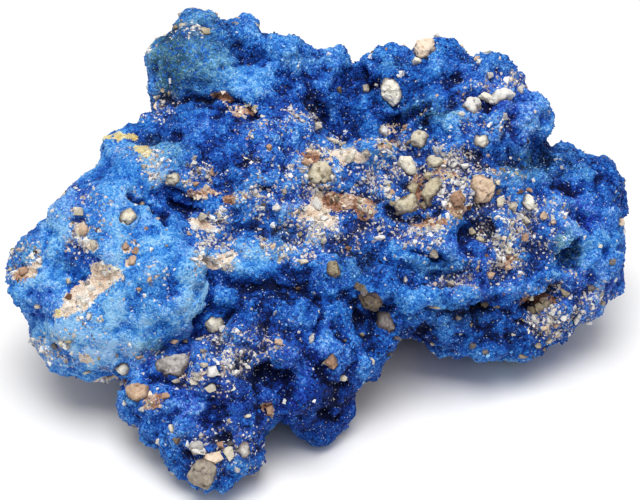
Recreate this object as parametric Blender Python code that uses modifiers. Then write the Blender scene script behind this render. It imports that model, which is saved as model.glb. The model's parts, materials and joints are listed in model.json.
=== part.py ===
"""Azurite specimen: one lumpy mass of azurite with pebbles of pale grit cemented into its skin.

Run it with: blender --background --python part.py
Row frame: metres, +X to the right across the show face, +Y away from the viewer, +Z up. The origin is
under the middle of the specimen, on the surface that it stands on.

The mass is drafted as lumps on the show face, which leans back and is seen square-on when looking down
at FACE_TILT. A place on it is given in millimetres: across it, up it and out of it towards the viewer.
"""

import math
import random

import bmesh
import bpy
from mathutils import Euler, Matrix, Vector
from mathutils.bvhtree import BVHTree

MM = 0.001

# ---- driving dimensions, in millimetres and degrees ----
FACE_TILT = 38.0
FACE_HEIGHT = 17.0  # the face's middle above the surface it stands on
VOXEL = 0.85  # grid of the remesh that joins the lumps
KNEAD_STEPS = 3  # smoothing that softens the creases between lumps
COARSE_RELIEF = (4.6, -3.0)  # size and height of the knobs, whose seams are cut inwards
FINE_RELIEF = (2.2, 2.2)  # size and height of the swells over them
THINNING = 0.135  # share of the triangles that the mass keeps
SOCKET_GAP = 0.32  # between a pebble and its socket
PEBBLE_CORNERS = 16
CORNER_JOG = (0.35, 0.12)  # the most that a corner strays, round the stone and along it
PEBBLE_SEED = 9
PEBBLE_SINK = 0.05  # how deep a pebble's middle lies, as a share of its half thickness
REACH = 90.0  # well clear of the specimen, for the rays that find its skin
FLOOR_BLOCK = 140.0

# Each lump: across, up, out, then its half sizes the same three ways, and its turn on the face.
LOBES = {
    "core": [
        (1, 1, -6, 25, 13, 12, 0),
        (14, 2, -5, 20, 12, 11, 0),
        (-10, 6, -5, 17, 13, 11, 0),
        (-5.4, -9.6, 2, 12.4, 10.4, 9, 0),
        (20, -4, -7, 15, 9, 9, 0),
    ],
    "left_lobe": [
        (-30.6, -3.0, 2.5, 8.0, 7.2, 7.5, 40),
        (-27.0, 2.4, 2.0, 7.0, 9.2, 8.0, -42),
        (-22.0, 7.6, -1.0, 6.8, 6.8, 8.0, 0),
        (-25.5, -7.5, 4.0, 9.5, 7.5, 8.0, 0),
        (-31.0, -8.5, 3.0, 5.6, 5.0, 6.0, -30),
        (-19.0, -5.0, 5.0, 5.6, 9.0, 8.0, 0),
        (-24.6, -1.4, 4.2, 7.6, 7.6, 7.6, 0),
        (-29.0, -13.0, 4.0, 3.6, 4.0, 5.0, 20),
        (-25.2, 12.4, -3.5, 3.0, 3.0, 4.0, 0),
        (-20.0, -12.2, 5.2, 5.2, 4.4, 5.0, 0),
        (-29.8, 5.6, 0.5, 3.2, 4.6, 6.0, -42),
    ],
    "knob": [
        (-14.6, 24.4, -8.0, 6.0, 6.6, 7.5, 0),
        (-17.6, 21.0, -8.0, 4.8, 5.6, 6.0, 0),
        (-18.2, 15.0, -4.5, 4.0, 5.4, 6.0, -35),
        (-10.5, 25.2, -10.0, 4.4, 4.8, 6.0, 0),
        (-19.3, 24.0, -9.0, 3.4, 4.2, 5.0, 0),
        (-16.6, 28.0, -8.5, 3.6, 2.8, 5.0, 0),
    ],
    "ridge": [
        (-4.5, 23.5, -8.0, 4.9, 4.6, 6.0, 0),
        (0.0, 21.2, -8.5, 5.0, 4.7, 6.0, 0),
        (3.8, 17.8, -9.0, 4.0, 4.0, 6.0, 0),
        (6.4, 15.0, -7.5, 3.6, 4.4, 5.5, 0),
        (-8.0, 17.0, -6.0, 8.0, 7.0, 7.0, 0),
    ],
    "upper_right_lobe": [
        (9.8, 21.2, -8.0, 4.8, 5.6, 6.0, 0),
        (15.8, 20.6, -8.5, 5.6, 6.5, 7.0, 0),
        (21.4, 19.3, -8.0, 5.9, 6.2, 7.0, 0),
        (24.8, 15.4, -8.0, 4.8, 6.3, 7.0, 0),
        (24.6, 18.8, -8.5, 3.5, 3.5, 5.0, 0),
        (17.5, 13.0, -5.0, 8.0, 6.0, 7.0, 0),
        (27.8, 15.2, -9.0, 2.0, 2.8, 4.0, 0),
        (17.2, 16.8, 0.0, 6.0, 1.8, 3.0, -8),
    ],
    "right_lobe": [
        (31.5, 8.0, -9.0, 5.2, 5.2, 7.0, 0),
        (35.0, 6.4, -9.0, 4.6, 5.6, 6.5, 0),
        (34.0, 3.8, -8.0, 5.4, 5.6, 7.0, 0),
        (32.6, -1.6, -6.0, 6.6, 6.4, 7.5, 0),
        (29.0, -6.8, -5.0, 5.4, 4.7, 6.0, 0),
        (25.6, -9.6, -4.6, 5.0, 4.6, 5.5, 0),
    ],
    "lower_right_ledge": [
        (21.4, -8.6, -2.2, 6.0, 5.0, 6.0, 0),
        (16.4, -8.6, -1.0, 5.5, 4.3, 6.0, 0),
        (11.5, -7.0, 1.0, 5.0, 3.6, 6.0, 0),
    ],
    "front_leg": [
        (-9.5, -16.5, 8.0, 7.5, 7.5, 7.0, 0),
        (-15.8, -19.2, 8.0, 6.2, 5.6, 6.0, 0),
        (-13.4, -23.8, 10.8, 4.6, 4.2, 4.5, 0),
        (-9.4, -22.4, 10.0, 3.4, 4.0, 4.5, 0),
        (-20.6, -18.2, 6.5, 4.2, 4.4, 4.5, 25),
        (-1.4, -15.8, 4.5, 4.8, 4.8, 6.0, 0),
        (-0.2, -20.2, 3.0, 3.7, 3.7, 5.0, 0),
        (4.2, -11.6, 4.0, 3.9, 4.2, 5.0, 0),
        (-3.0, -11.0, 5.0, 7.0, 6.0, 5.5, 0),
    ],
    "rim": [
        (-12.0, -0.8, 4.5, 3.4, 1.8, 3.2, 0),
        (-7.6, -0.6, 5.0, 3.2, 2.0, 3.4, 10),
        (-3.4, -1.4, 5.6, 2.8, 1.9, 3.2, -15),
        (1.2, -2.4, 6.0, 2.8, 2.2, 3.2, 0),
        (5.8, -4.2, 5.8, 3.2, 2.2, 3.2, -20),
        (10.6, -5.8, 5.0, 3.4, 2.0, 3.2, -10),
        (15.8, -6.2, 3.6, 3.6, 2.2, 3.2, 0),
        (21.0, -5.0, 2.2, 3.4, 2.0, 3.2, 15),
        (26.0, -3.6, 1.0, 3.2, 2.2, 3.0, 20),
    ],
    "nodules": [
        (1.6, -12.0, 9.2, 2.4, 2.3, 2.4, 0),
        (-4.2, -12.4, 12.2, 2.6, 1.9, 2.2, 0),
        (-9.4, -9.4, 12.0, 2.6, 2.0, 2.4, 0),
        (-1.2, -17.2, 11.6, 2.4, 2.2, 2.2, 0),
        (-12.6, -14.0, 14.0, 2.6, 2.2, 2.2, 0),
        (-16.2, 11.0, 3.6, 3.2, 2.6, 2.6, 20),
        (-7.0, 12.4, 3.4, 3.6, 2.4, 2.4, -20),
        (6.2, 12.0, 2.8, 3.4, 2.2, 2.4, 0),
        (27.4, 4.2, 0.8, 2.8, 2.6, 2.6, 0),
        (23.6, 8.6, 0.4, 2.8, 2.2, 2.6, 0),
        (30.0, 0.6, 1.0, 2.6, 3.2, 2.2, 0),
    ],
    "underside": [
        (-12.0, -21.6, 6.0, 4.4, 4.4, 4.6, 0),
        (24.0, -4.0, -13.4, 6.6, 6.0, 6.8, 0),
        (-24.0, -1.0, -7.0, 6.0, 6.0, 6.0, 0),
        (4.0, -6.0, -8.0, 7.0, 6.0, 6.0, 0),
    ],
    "back_knobs": [
        (-26.0, 8.0, -12.0, 5.0, 5.0, 5.0, 0),
        (-28.0, 1.0, -10.0, 5.0, 5.6, 5.0, 0),
        (-17.0, 10.0, -20.0, 5.6, 4.6, 4.4, 0),
        (-11.0, 0.0, -24.0, 5.0, 6.0, 4.6, 0),
        (-2.0, 13.0, -25.0, 4.6, 5.6, 5.0, 0),
        (1.0, 17.0, -16.0, 6.0, 4.6, 5.6, 0),
        (2.0, 1.0, -27.0, 5.6, 5.0, 4.0, 0),
        (9.0, 12.0, -25.0, 5.0, 4.6, 4.4, 0),
        (16.0, 3.0, -23.0, 5.0, 6.0, 4.6, 0),
        (19.0, 14.0, -20.0, 5.6, 4.6, 5.0, 0),
        (27.0, 8.0, -17.0, 4.6, 5.4, 5.0, 0),
        (31.0, -1.0, -14.0, 4.6, 4.6, 5.0, 0),
        (-16.0, 22.0, -14.0, 4.0, 4.4, 4.6, 0),
        (11.0, 20.0, -15.0, 4.6, 4.0, 4.6, 0),
    ],
    "back": [
        (-20.0, 2.0, -12.0, 12.0, 11.0, 10.0, 0),
        (-6.0, 6.0, -20.0, 13.0, 12.0, 9.0, 0),
        (10.0, 6.0, -20.0, 12.0, 11.0, 9.0, 0),
        (24.0, 1.0, -15.0, 9.0, 9.0, 9.0, 0),
        (-14.0, 16.0, -14.0, 6.0, 8.0, 7.0, 0),
        (16.0, 14.0, -14.0, 8.0, 7.0, 7.0, 0),
    ],
}

# Each hollow is a lump taken away, written the same way.
HOLLOWS = {
    "crevice_beside_left_lobe": (-18.2, 5.4, 7.4, 4.6, 1.3, 4.5, -32),
    "crevice_shelf": (-12.8, 7.6, 8.0, 3.0, 1.6, 3.2, 12),
    "under_the_rim": (-7.0, -5.2, 12.4, 4.6, 2.0, 4.2, 0),
    "under_the_rim_right": (0.6, -6.8, 11.8, 2.6, 1.6, 3.2, -20),
    "beside_the_left_lobe": (-12.6, -7.6, 12.6, 1.5, 5.2, 4.0, 8),
    "leg_slot": (-5.8, -14.6, 15.2, 3.6, 1.3, 3.6, 0),
    "between_the_feet": (-5.2, -22.2, 11.0, 1.7, 3.2, 8.0, -35),
    "inside_corner": (5.4, -8.8, 9.8, 2.0, 3.0, 3.4, 30),
    "pit_in_the_middle": (19.4, 2.4, 6.4, 2.1, 2.2, 3.6, 0),
    "pit_near_the_top": (17.0, 22.0, -1.4, 1.9, 1.6, 2.8, 20),
    "under_the_stones": (12.2, 3.0, 6.8, 3.8, 1.1, 2.4, 12),
    "seam_under_the_knob": (-11.0, 17.4, 2.6, 3.0, 0.9, 2.2, -35),
    "under_the_lip": (27.6, -6.6, 2.0, 3.4, 1.4, 4.0, 22),
    "right_lobe_dimple": (31.4, -0.2, 1.6, 1.9, 2.4, 2.0, -20),
    "back_left_groove": (-20.0, 12.0, -16.0, 1.8, 4.0, 3.4, 25),
    "back_pocket": (-5.0, 8.0, -29.0, 2.6, 2.4, 3.0, 0),
    "back_groove": (6.0, 15.0, -22.0, 1.4, 4.6, 4.0, -20),
    "back_right_pocket": (22.0, 9.0, -22.0, 2.4, 2.0, 3.4, 0),
    "top_right_shelf": (19.6, 15.4, 1.6, 4.2, 1.0, 2.6, 10),
}

# Each stone of the grit: its colour and roughness.
STONES = {
    "cream_feldspar": ((0.62, 0.52, 0.40), 0.75),
    "peach_feldspar": ((0.66, 0.42, 0.29), 0.75),
    "tan_feldspar": ((0.47, 0.34, 0.22), 0.8),
    "white_quartz": ((0.70, 0.66, 0.62), 0.5),
    "grey_quartz": ((0.30, 0.27, 0.24), 0.6),
}

# Each pebble of the show face: its stone, across, up, half width, half height and half thickness, its
# turn, and how blocky it is, from 2 for an egg to 6 for a brick.
FACE_PEBBLES = {
    "top_pebble": ("peach_feldspar", 13.6, 25.6, 1.6, 1.5, 1.5, 0, 3),
    "kidney_pebble": ("cream_feldspar", 9.1, 20.1, 1.2, 1.8, 1.2, 15, 2.5),
    "bar_pebble": ("white_quartz", 19.2, 17.9, 0.95, 1.4, 0.9, -10, 5),
    "slab_pebble": ("white_quartz", 22.8, 19.4, 1.7, 0.7, 0.9, 10, 5),
    "upper_pebble": ("cream_feldspar", 12.4, 13.8, 1.0, 1.1, 0.9, 20, 3),
    "shelf_pebble": ("cream_feldspar", 20.1, 13.6, 1.0, 0.75, 0.8, 0, 3),
    "lavender_pebble": ("white_quartz", 7.9, 15.0, 0.8, 0.9, 0.8, 0, 3),
    "tan_block_pebble": ("tan_feldspar", -0.1, 9.3, 1.4, 1.3, 1.2, 8, 6),
    "tall_pebble": ("cream_feldspar", 10.8, 10.3, 0.85, 1.3, 1.0, 12, 3),
    "cap_pebble": ("cream_feldspar", 14.2, 10.8, 1.1, 0.8, 0.9, 0, 3),
    "pillar_pebble": ("tan_feldspar", 13.8, 7.3, 1.0, 1.7, 1.1, -5, 4),
    "step_pebble": ("tan_feldspar", 10.6, 5.6, 1.5, 1.1, 1.1, 12, 4),
    "orange_pebble": ("peach_feldspar", 16.7, 6.2, 0.75, 0.95, 0.8, 0, 3),
    "pink_pebble": ("peach_feldspar", 19.8, 7.5, 1.4, 1.6, 1.3, -10, 4),
    "round_pebble": ("cream_feldspar", 25.6, 5.8, 0.9, 1.0, 0.9, 0, 2.5),
    "rim_pebble": ("tan_feldspar", 1.6, -2.3, 0.85, 0.85, 0.8, 20, 3),
    "brown_pebble": ("tan_feldspar", 6.1, -5.9, 1.4, 1.1, 1.1, -40, 4),
    "corner_pebble": ("grey_quartz", 7.9, -9.0, 1.1, 1.6, 1.1, 10, 3),
    "crevice_pebble": ("cream_feldspar", -18.0, 8.6, 0.95, 0.75, 0.8, 15, 3),
    "diamond_pebble": ("tan_feldspar", -23.1, 3.7, 1.15, 0.9, 0.8, 12, 5),
    "lobe_foot_pebble": ("cream_feldspar", -23.6, -14.0, 1.0, 0.8, 0.8, 0, 3),
    "wedge_pebble": ("grey_quartz", -16.6, -14.0, 3.0, 1.6, 1.8, -5, 3),
    "leg_pebble": ("peach_feldspar", -21.4, -16.9, 1.7, 0.9, 1.0, 0, 3),
    "lobe_side_pebble": ("cream_feldspar", -12.6, -9.0, 0.95, 1.0, 0.9, 0, 3),
    "slot_pebble": ("peach_feldspar", 1.3, -13.2, 0.7, 1.0, 0.8, 15, 3),
    "toe_pebble": ("white_quartz", -14.2, -22.9, 0.9, 0.7, 0.8, 0, 3),
    "heel_pebble": ("grey_quartz", -9.0, -23.2, 0.8, 0.85, 0.8, 0, 3),
    "foot_pebble": ("cream_feldspar", -13.6, -26.0, 1.4, 1.6, 1.3, -15, 4),
    "right_pebble": ("tan_feldspar", 28.4, -7.2, 0.8, 0.75, 0.8, 0, 3),
}

# Each pebble of the back, written the same way, but with its height above the floor in place of up.
BACK_PEBBLES = {
    "back_left_pebble": ("cream_feldspar", -23.0, 19.0, 1.5, 1.2, 1.1, 20, 4),
    "back_knob_pebble": ("tan_feldspar", -10.0, 30.0, 1.2, 1.0, 1.0, -15, 3),
    "back_middle_pebble": ("peach_feldspar", 3.0, 15.0, 1.8, 1.3, 1.2, 5, 4),
    "back_upper_pebble": ("white_quartz", 17.0, 26.0, 1.1, 1.4, 1.0, -25, 4),
    "back_right_pebble": ("tan_feldspar", 26.0, 12.0, 1.3, 1.2, 1.0, 30, 3),
}


def on_face(across, up, out):
    """A place on the show face, in metres."""
    tilt = math.radians(FACE_TILT)
    y = up * math.sin(tilt) - out * math.cos(tilt)
    z = FACE_HEIGHT + up * math.cos(tilt) + out * math.sin(tilt)
    return Vector((across, y, z)) * MM


def face_turn(turn):
    """The rotation that carries a lump's own axes to across, up and out, turned on the face."""
    lean = Euler((math.radians(90 - FACE_TILT), 0, 0)).to_matrix()
    return lean @ Matrix.Rotation(math.radians(turn), 3, "Z")


def clear_scene():
    for obj in list(bpy.data.objects):
        bpy.data.objects.remove(obj)


def fresh_collection(name):
    made = bpy.data.collections.new(name)
    bpy.context.scene.collection.children.link(made)
    return made


def painted(name, colour, roughness):
    material = bpy.data.materials.new(name)
    material.use_nodes = True
    shader = material.node_tree.nodes["Principled BSDF"]
    shader.inputs["Base Color"].default_value = (*colour, 1)
    shader.inputs["Roughness"].default_value = roughness
    shader.inputs["Metallic"].default_value = 0
    return material


def object_from(bm, name, collection, origin):
    """An object made of bm, which is used up. It hangs from origin."""
    mesh = bpy.data.meshes.new(name)
    bm.to_mesh(mesh)
    bm.free()
    obj = bpy.data.objects.new(name, mesh)
    obj.parent = origin
    collection.objects.link(obj)
    return obj


def helper_from(bm, name, collection, origin):
    """A cutter, which is drawn as wire and never rendered."""
    obj = object_from(bm, name, collection, origin)
    obj.hide_render = True
    obj.display_type = "WIRE"
    return obj


def lumps_mesh(lumps):
    """One ellipsoid for each lump, still passing through one another."""
    bm = bmesh.new()
    for across, up, out, half_across, half_up, half_out, turn in lumps:
        place = (
            Matrix.Translation(on_face(across, up, out))
            @ face_turn(turn).to_4x4()
            @ Matrix.Diagonal((half_across * MM, half_up * MM, half_out * MM, 1))
        )
        bmesh.ops.create_icosphere(bm, subdivisions=3, radius=1, matrix=place)
    return bm


def join_lumps(obj, name):
    modifier = obj.modifiers.new(name, "REMESH")
    modifier.mode = "VOXEL"
    modifier.voxel_size = VOXEL * MM


def add_relief(obj, name, kind, size, height):
    texture = bpy.data.textures.new(name, kind)
    texture.noise_scale = size * MM
    modifier = obj.modifiers.new(name, "DISPLACE")
    modifier.texture = texture
    modifier.texture_coords = "LOCAL"
    modifier.strength = height * MM
    modifier.mid_level = 0.5


def cut_with(obj, cutter, name):
    modifier = obj.modifiers.new(name, "BOOLEAN")
    modifier.operation = "DIFFERENCE"
    modifier.object = cutter


def floor_block_mesh():
    """A block whose top is the surface that the specimen stands on."""
    bm = bmesh.new()
    side = FLOOR_BLOCK * MM
    below = Matrix.Translation((0, 0, -side / 2))
    bmesh.ops.create_cube(bm, size=side, matrix=below)
    return bm


def build_mass(parts, cutters, origin):
    """The lumps are joined, kneaded, embossed, hollowed out, thinned to flat facets and stood flat."""
    lumps = [lump for lobe in LOBES.values() for lump in lobe]
    mass = object_from(lumps_mesh(lumps), "azurite_mass", parts, origin)
    mass.data.materials.append(painted("azurite", (0.02, 0.11, 0.55), 0.6))
    join_lumps(mass, "join")
    knead = mass.modifiers.new("knead", "SMOOTH")
    knead.factor = 0.5
    knead.iterations = KNEAD_STEPS
    add_relief(mass, "knobs", "VORONOI", *COARSE_RELIEF)
    add_relief(mass, "swells", "CLOUDS", *FINE_RELIEF)
    hollows = helper_from(lumps_mesh(HOLLOWS.values()), "hollows", cutters, origin)
    cut_with(mass, hollows, "hollow_out")
    join_lumps(mass, "settle")
    thin = mass.modifiers.new("thin", "DECIMATE")
    thin.ratio = THINNING
    floor_block = helper_from(floor_block_mesh(), "floor_block", cutters, origin)
    cut_with(mass, floor_block, "stand_flat")
    return mass


def skin_of(obj):
    """The object's surface with its modifiers, ready for rays."""
    bpy.context.view_layer.update()
    return BVHTree.FromObject(obj, bpy.context.evaluated_depsgraph_get())


def seat(skin, start, aim, sink, turn):
    """Where a stone sits that a ray from start finds its place for: its middle, facing and turn."""
    place, normal, _, _ = skin.ray_cast(start, aim)
    facing = (normal - aim).normalized()
    lean = facing.to_track_quat("Z", "Y").to_matrix() @ Matrix.Rotation(math.radians(turn), 3, "Z")
    return Matrix.Translation(place - facing * sink) @ lean.to_4x4()


def pebble_mesh(rng, halves, blocky, place):
    """A stone with flat faces: the hull of corners spread evenly over a rounded block, then jogged."""
    bm = bmesh.new()
    golden_turn = math.pi * (3 - math.sqrt(5))
    jog_round, jog_along = CORNER_JOG
    for i in range(PEBBLE_CORNERS):
        height = 1 - (2 * i + 1) / PEBBLE_CORNERS
        ring = math.sqrt(1 - height**2)
        angle = golden_turn * i + rng.uniform(-jog_round, jog_round)
        rise = height + rng.uniform(-jog_along, jog_along)
        way = Vector((ring * math.cos(angle), ring * math.sin(angle), rise))
        spread = sum(abs(part) ** blocky for part in way) ** (1 / blocky)
        corner = Vector([part / spread * half * MM for part, half in zip(way, halves)])
        bm.verts.new(place @ corner)
    hull = bmesh.ops.convex_hull(bm, input=bm.verts)
    loose = set(hull["geom_interior"]) | set(hull["geom_unused"])
    bmesh.ops.delete(bm, geom=[v for v in loose if isinstance(v, bmesh.types.BMVert)], context="VERTS")
    bmesh.ops.recalc_face_normals(bm, faces=bm.faces)
    return bm


def add_socket(sockets, pebble):
    """The pebble's own shape with every face moved out by the gap, added to the sockets."""
    grown = pebble.copy()
    grown.normal_update()
    steps = [v.normal * v.calc_shell_factor() * SOCKET_GAP * MM for v in grown.verts]
    for vert, step in zip(grown.verts, steps):
        vert.co += step
    mesh = bpy.data.meshes.new("socket")
    grown.to_mesh(mesh)
    grown.free()
    sockets.from_mesh(mesh)
    bpy.data.meshes.remove(mesh)


def set_pebbles(mass, parts, cutters, origin):
    """Seats every pebble on the mass and cuts the socket that it lies in."""
    rng = random.Random(PEBBLE_SEED)
    skin = skin_of(mass)
    stones = {name: painted(name, *finish) for name, finish in STONES.items()}
    sockets = bmesh.new()
    towards_back = (on_face(0, 0, 0) - on_face(0, 0, 1)).normalized()
    towards_front = Vector((0, -1, 0))
    seats = []
    for name, (stone, across, up, *shape) in FACE_PEBBLES.items():
        seats.append((name, stone, on_face(across, up, REACH), towards_back, shape))
    for name, (stone, across, height, *shape) in BACK_PEBBLES.items():
        seats.append((name, stone, Vector((across, REACH, height)) * MM, towards_front, shape))
    for name, stone, start, aim, (half_width, half_height, half_thickness, turn, blocky) in seats:
        place = seat(skin, start, aim, PEBBLE_SINK * half_thickness * MM, turn)
        pebble = pebble_mesh(rng, (half_width, half_height, half_thickness), blocky, place)
        add_socket(sockets, pebble)
        obj = object_from(pebble, name, parts, origin)
        obj.data.materials.append(stones[stone])
    cut_with(mass, helper_from(sockets, "sockets", cutters, origin), "sockets")


def centre_over_base(origin, parts):
    """Moves the empty that all hangs from, so that the row's origin is under the middle of the box."""
    bpy.context.view_layer.update()
    graph = bpy.context.evaluated_depsgraph_get()
    solids = [obj.evaluated_get(graph) for obj in parts.objects if obj.type == "MESH"]
    corners = [Vector(corner) for solid in solids for corner in solid.bound_box]
    for axis in (0, 1):
        low = min(corner[axis] for corner in corners)
        high = max(corner[axis] for corner in corners)
        origin.location[axis] = -(low + high) / 2


def main():
    clear_scene()
    parts = fresh_collection("azurite_specimen")
    cutters = fresh_collection("cutters")
    origin = bpy.data.objects.new("specimen_origin", None)
    parts.objects.link(origin)
    mass = build_mass(parts, cutters, origin)
    set_pebbles(mass, parts, cutters, origin)
    centre_over_base(origin, parts)


main()
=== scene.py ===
import json
import math

import bmesh
import bpy
import numpy as np
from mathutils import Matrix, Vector, noise
from mathutils.bvhtree import BVHTree


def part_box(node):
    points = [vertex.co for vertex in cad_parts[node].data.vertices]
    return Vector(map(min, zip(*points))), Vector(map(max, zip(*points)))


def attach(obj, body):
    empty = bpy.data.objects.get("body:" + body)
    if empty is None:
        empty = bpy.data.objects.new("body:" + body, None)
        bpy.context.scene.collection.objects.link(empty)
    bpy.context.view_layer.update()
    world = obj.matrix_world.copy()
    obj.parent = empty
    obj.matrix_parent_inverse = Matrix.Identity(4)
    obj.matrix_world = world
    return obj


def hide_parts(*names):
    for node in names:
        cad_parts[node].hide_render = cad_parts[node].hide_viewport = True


noise.seed_set(3)  # noise_vector draws its offsets from the clock otherwise
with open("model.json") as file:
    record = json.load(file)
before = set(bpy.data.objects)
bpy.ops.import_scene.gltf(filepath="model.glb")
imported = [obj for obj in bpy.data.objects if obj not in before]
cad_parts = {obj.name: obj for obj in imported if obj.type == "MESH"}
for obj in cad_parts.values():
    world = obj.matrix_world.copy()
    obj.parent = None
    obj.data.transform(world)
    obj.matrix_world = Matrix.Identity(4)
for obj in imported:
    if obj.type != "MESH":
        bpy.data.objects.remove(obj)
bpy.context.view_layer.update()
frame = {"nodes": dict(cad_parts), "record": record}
slotOf = {entry["node"]: entry["material_slot"] for entry in frame["record"]["subparts"]}
pebbleNames = sorted(name for name in frame["nodes"] if name != "azurite_mass")

# the camera comes first, because places on the show face are given by where it sees them
cameraView = {
    "width": 640,
    "height": 500,  # of the picture, in pixels
    "lens": 85.0,
    "sensor": 36.0,
    "elevation": 38.0,
    "distance": 0.190,
    "target": (-0.000986, -0.002073, 0.017),
}
tilt = math.radians(cameraView["elevation"])
forward = np.array((0.0, math.cos(tilt), -math.sin(tilt)))
upward = np.array((0.0, math.sin(tilt), math.cos(tilt)))
rightward = np.array((1.0, 0.0, 0.0))
target = np.array(cameraView["target"])
eye = target - forward * cameraView["distance"]
pixelsPerSlope = cameraView["width"] * cameraView["lens"] / cameraView["sensor"]


def toPixels(points):
    away = points - eye
    depth = away @ forward
    across = cameraView["width"] / 2 + pixelsPerSlope * (away @ rightward) / depth
    down = cameraView["height"] / 2 - pixelsPerSlope * (away @ upward) / depth
    return across, down


def rayThrough(px, py):
    right = (px - cameraView["width"] / 2) / pixelsPerSlope
    up = (cameraView["height"] / 2 - py) / pixelsPerSlope
    return Vector(forward + rightward * right + upward * up).normalized()


def setCamera():
    data = bpy.data.cameras.new("camera")
    data.lens = cameraView["lens"]
    data.sensor_width = cameraView["sensor"]
    data.clip_start = 0.01
    camera = bpy.data.objects.new("camera", data)
    camera.location = eye
    camera.rotation_euler = (math.radians(90 - cameraView["elevation"]), 0, 0)
    bpy.context.scene.collection.objects.link(camera)
    bpy.context.scene.camera = camera


def addObject(name, mesh, *materials):
    piece = bpy.data.objects.new(name, mesh)
    bpy.context.scene.collection.objects.link(piece)
    mesh.materials.clear()  # a mesh taken from the frame still has its plain material
    for material in materials:
        mesh.materials.append(material)
    return piece


def meshFrom(name, points, faces, smooth=False):
    # faces is one array, with as many corners in each row as each face has
    mesh = bpy.data.meshes.new(name)
    count, corners = faces.shape
    mesh.vertices.add(len(points))
    mesh.vertices.foreach_set("co", points.astype(np.float32).ravel())
    mesh.loops.add(count * corners)
    mesh.loops.foreach_set("vertex_index", faces.astype(np.int32).ravel())
    mesh.polygons.add(count)
    mesh.polygons.foreach_set("loop_start", np.arange(0, count * corners, corners, dtype=np.int32))
    mesh.update(calc_edges=True)
    mesh.validate()
    setSmooth(mesh, smooth)
    return mesh


def setSmooth(mesh, smooth=True):
    mesh.polygons.foreach_set("use_smooth", np.full(len(mesh.polygons), smooth))


def pointsOf(mesh):
    points = np.empty(len(mesh.vertices) * 3)
    mesh.vertices.foreach_get("co", points)
    return points.reshape(-1, 3)


def aboveFloor(points):
    points[:, 2] = np.maximum(points[:, 2], 0)  # nothing goes below the surface it stands on
    return points


def movePoints(mesh, points):
    mesh.vertices.foreach_set("co", aboveFloor(points).ravel())
    mesh.update()


def normalsOf(mesh):
    normals = np.empty(len(mesh.vertices) * 3)
    mesh.vertex_normals.foreach_get("vector", normals)
    return normals.reshape(-1, 3)


def edgesOf(mesh):
    edges = np.empty(len(mesh.edges) * 2, np.int32)
    mesh.edges.foreach_get("vertices", edges)
    return edges.reshape(-1, 2)


def addColours(mesh, name, values):
    layer = mesh.attributes.new(name, "FLOAT_COLOR", "POINT")
    full = np.ones((len(values), 4), np.float32)
    full[:, : values.shape[1]] = values
    layer.data.foreach_set("color", full.ravel())


def coloursOf(mesh, name):
    values = np.empty(len(mesh.vertices) * 4, np.float32)
    mesh.attributes[name].data.foreach_get("color", values)
    return values.reshape(-1, 4)[:, :3].astype(float)


def appliedMesh(draft):
    # the draft's mesh with its modifiers applied; the draft itself goes
    bpy.context.view_layer.update()
    graph = bpy.context.evaluated_depsgraph_get()
    mesh = bpy.data.meshes.new_from_object(draft.evaluated_get(graph))
    bpy.data.objects.remove(draft)
    return mesh


def reskinned(draft, voxel, smoothSteps):
    # the outside of the draft as one even skin
    remesh = draft.modifiers.new("skin", "REMESH")
    remesh.mode = "VOXEL"
    remesh.voxel_size = voxel
    smooth = draft.modifiers.new("smooth", "SMOOTH")
    smooth.iterations = smoothSteps
    return appliedMesh(draft)


def treeOf(mesh):
    corners = [vert.co for vert in mesh.vertices]
    return BVHTree.FromPolygons(corners, [face.vertices for face in mesh.polygons])


def averaged(values, edges, steps):
    # every point moves to the mean of its neighbours, steps times over
    if values.ndim == 1:
        return averaged(values[:, None], edges, steps)[:, 0]
    count = len(values)
    links = np.bincount(edges.ravel(), minlength=count)[:, None]
    for _ in range(steps):
        total = np.zeros_like(values)
        for column in range(values.shape[1]):
            total[:, column] = np.bincount(edges[:, 0], values[edges[:, 1], column], count)
            total[:, column] += np.bincount(edges[:, 1], values[edges[:, 0], column], count)
        values = total / np.maximum(links, 1)
    return values


def smoothStep(low, high, values):
    t = np.clip((values - low) / (high - low), 0, 1)
    return t * t * (3 - 2 * t)


def cloudField(points, size, octaves, seed):
    # soft noise, about -1 to 1, with its largest lumps of that size
    shift = Vector((seed * 7.3, seed * 3.1, seed * 5.7))
    return 1.8 * np.array([noise.fractal(Vector(p) / size + shift, 0.9, 2.1, octaves) for p in points])


def lumpField(points, size, seed):
    # rounded lumps packed side by side: 1 on each top, 0 in the seams between them
    shift = Vector((seed * 5.1, seed * 9.7, seed * 2.3))
    heights = np.empty(len(points))
    for index, point in enumerate(points):
        place = Vector(point) / size + shift
        place += 0.55 * noise.noise_vector(place * 0.8)
        heights[index] = 1 - 1.25 * noise.voronoi(place)[0][0] ** 2
    return np.clip(heights, 0, 1)


def chipField(points, size, seed):
    # flat chips side by side, each tilted its own way, about -0.5 to 0.5
    shift = Vector((seed * 3.7, seed * 6.1, seed * 8.3))
    heights = np.empty(len(points))
    for index, point in enumerate(points):
        place = Vector(point) / size + shift
        middle = noise.voronoi(place)[1][0]
        heights[index] = (place - middle).dot(noise.noise_vector(middle * 7.7))
    return heights


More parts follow.
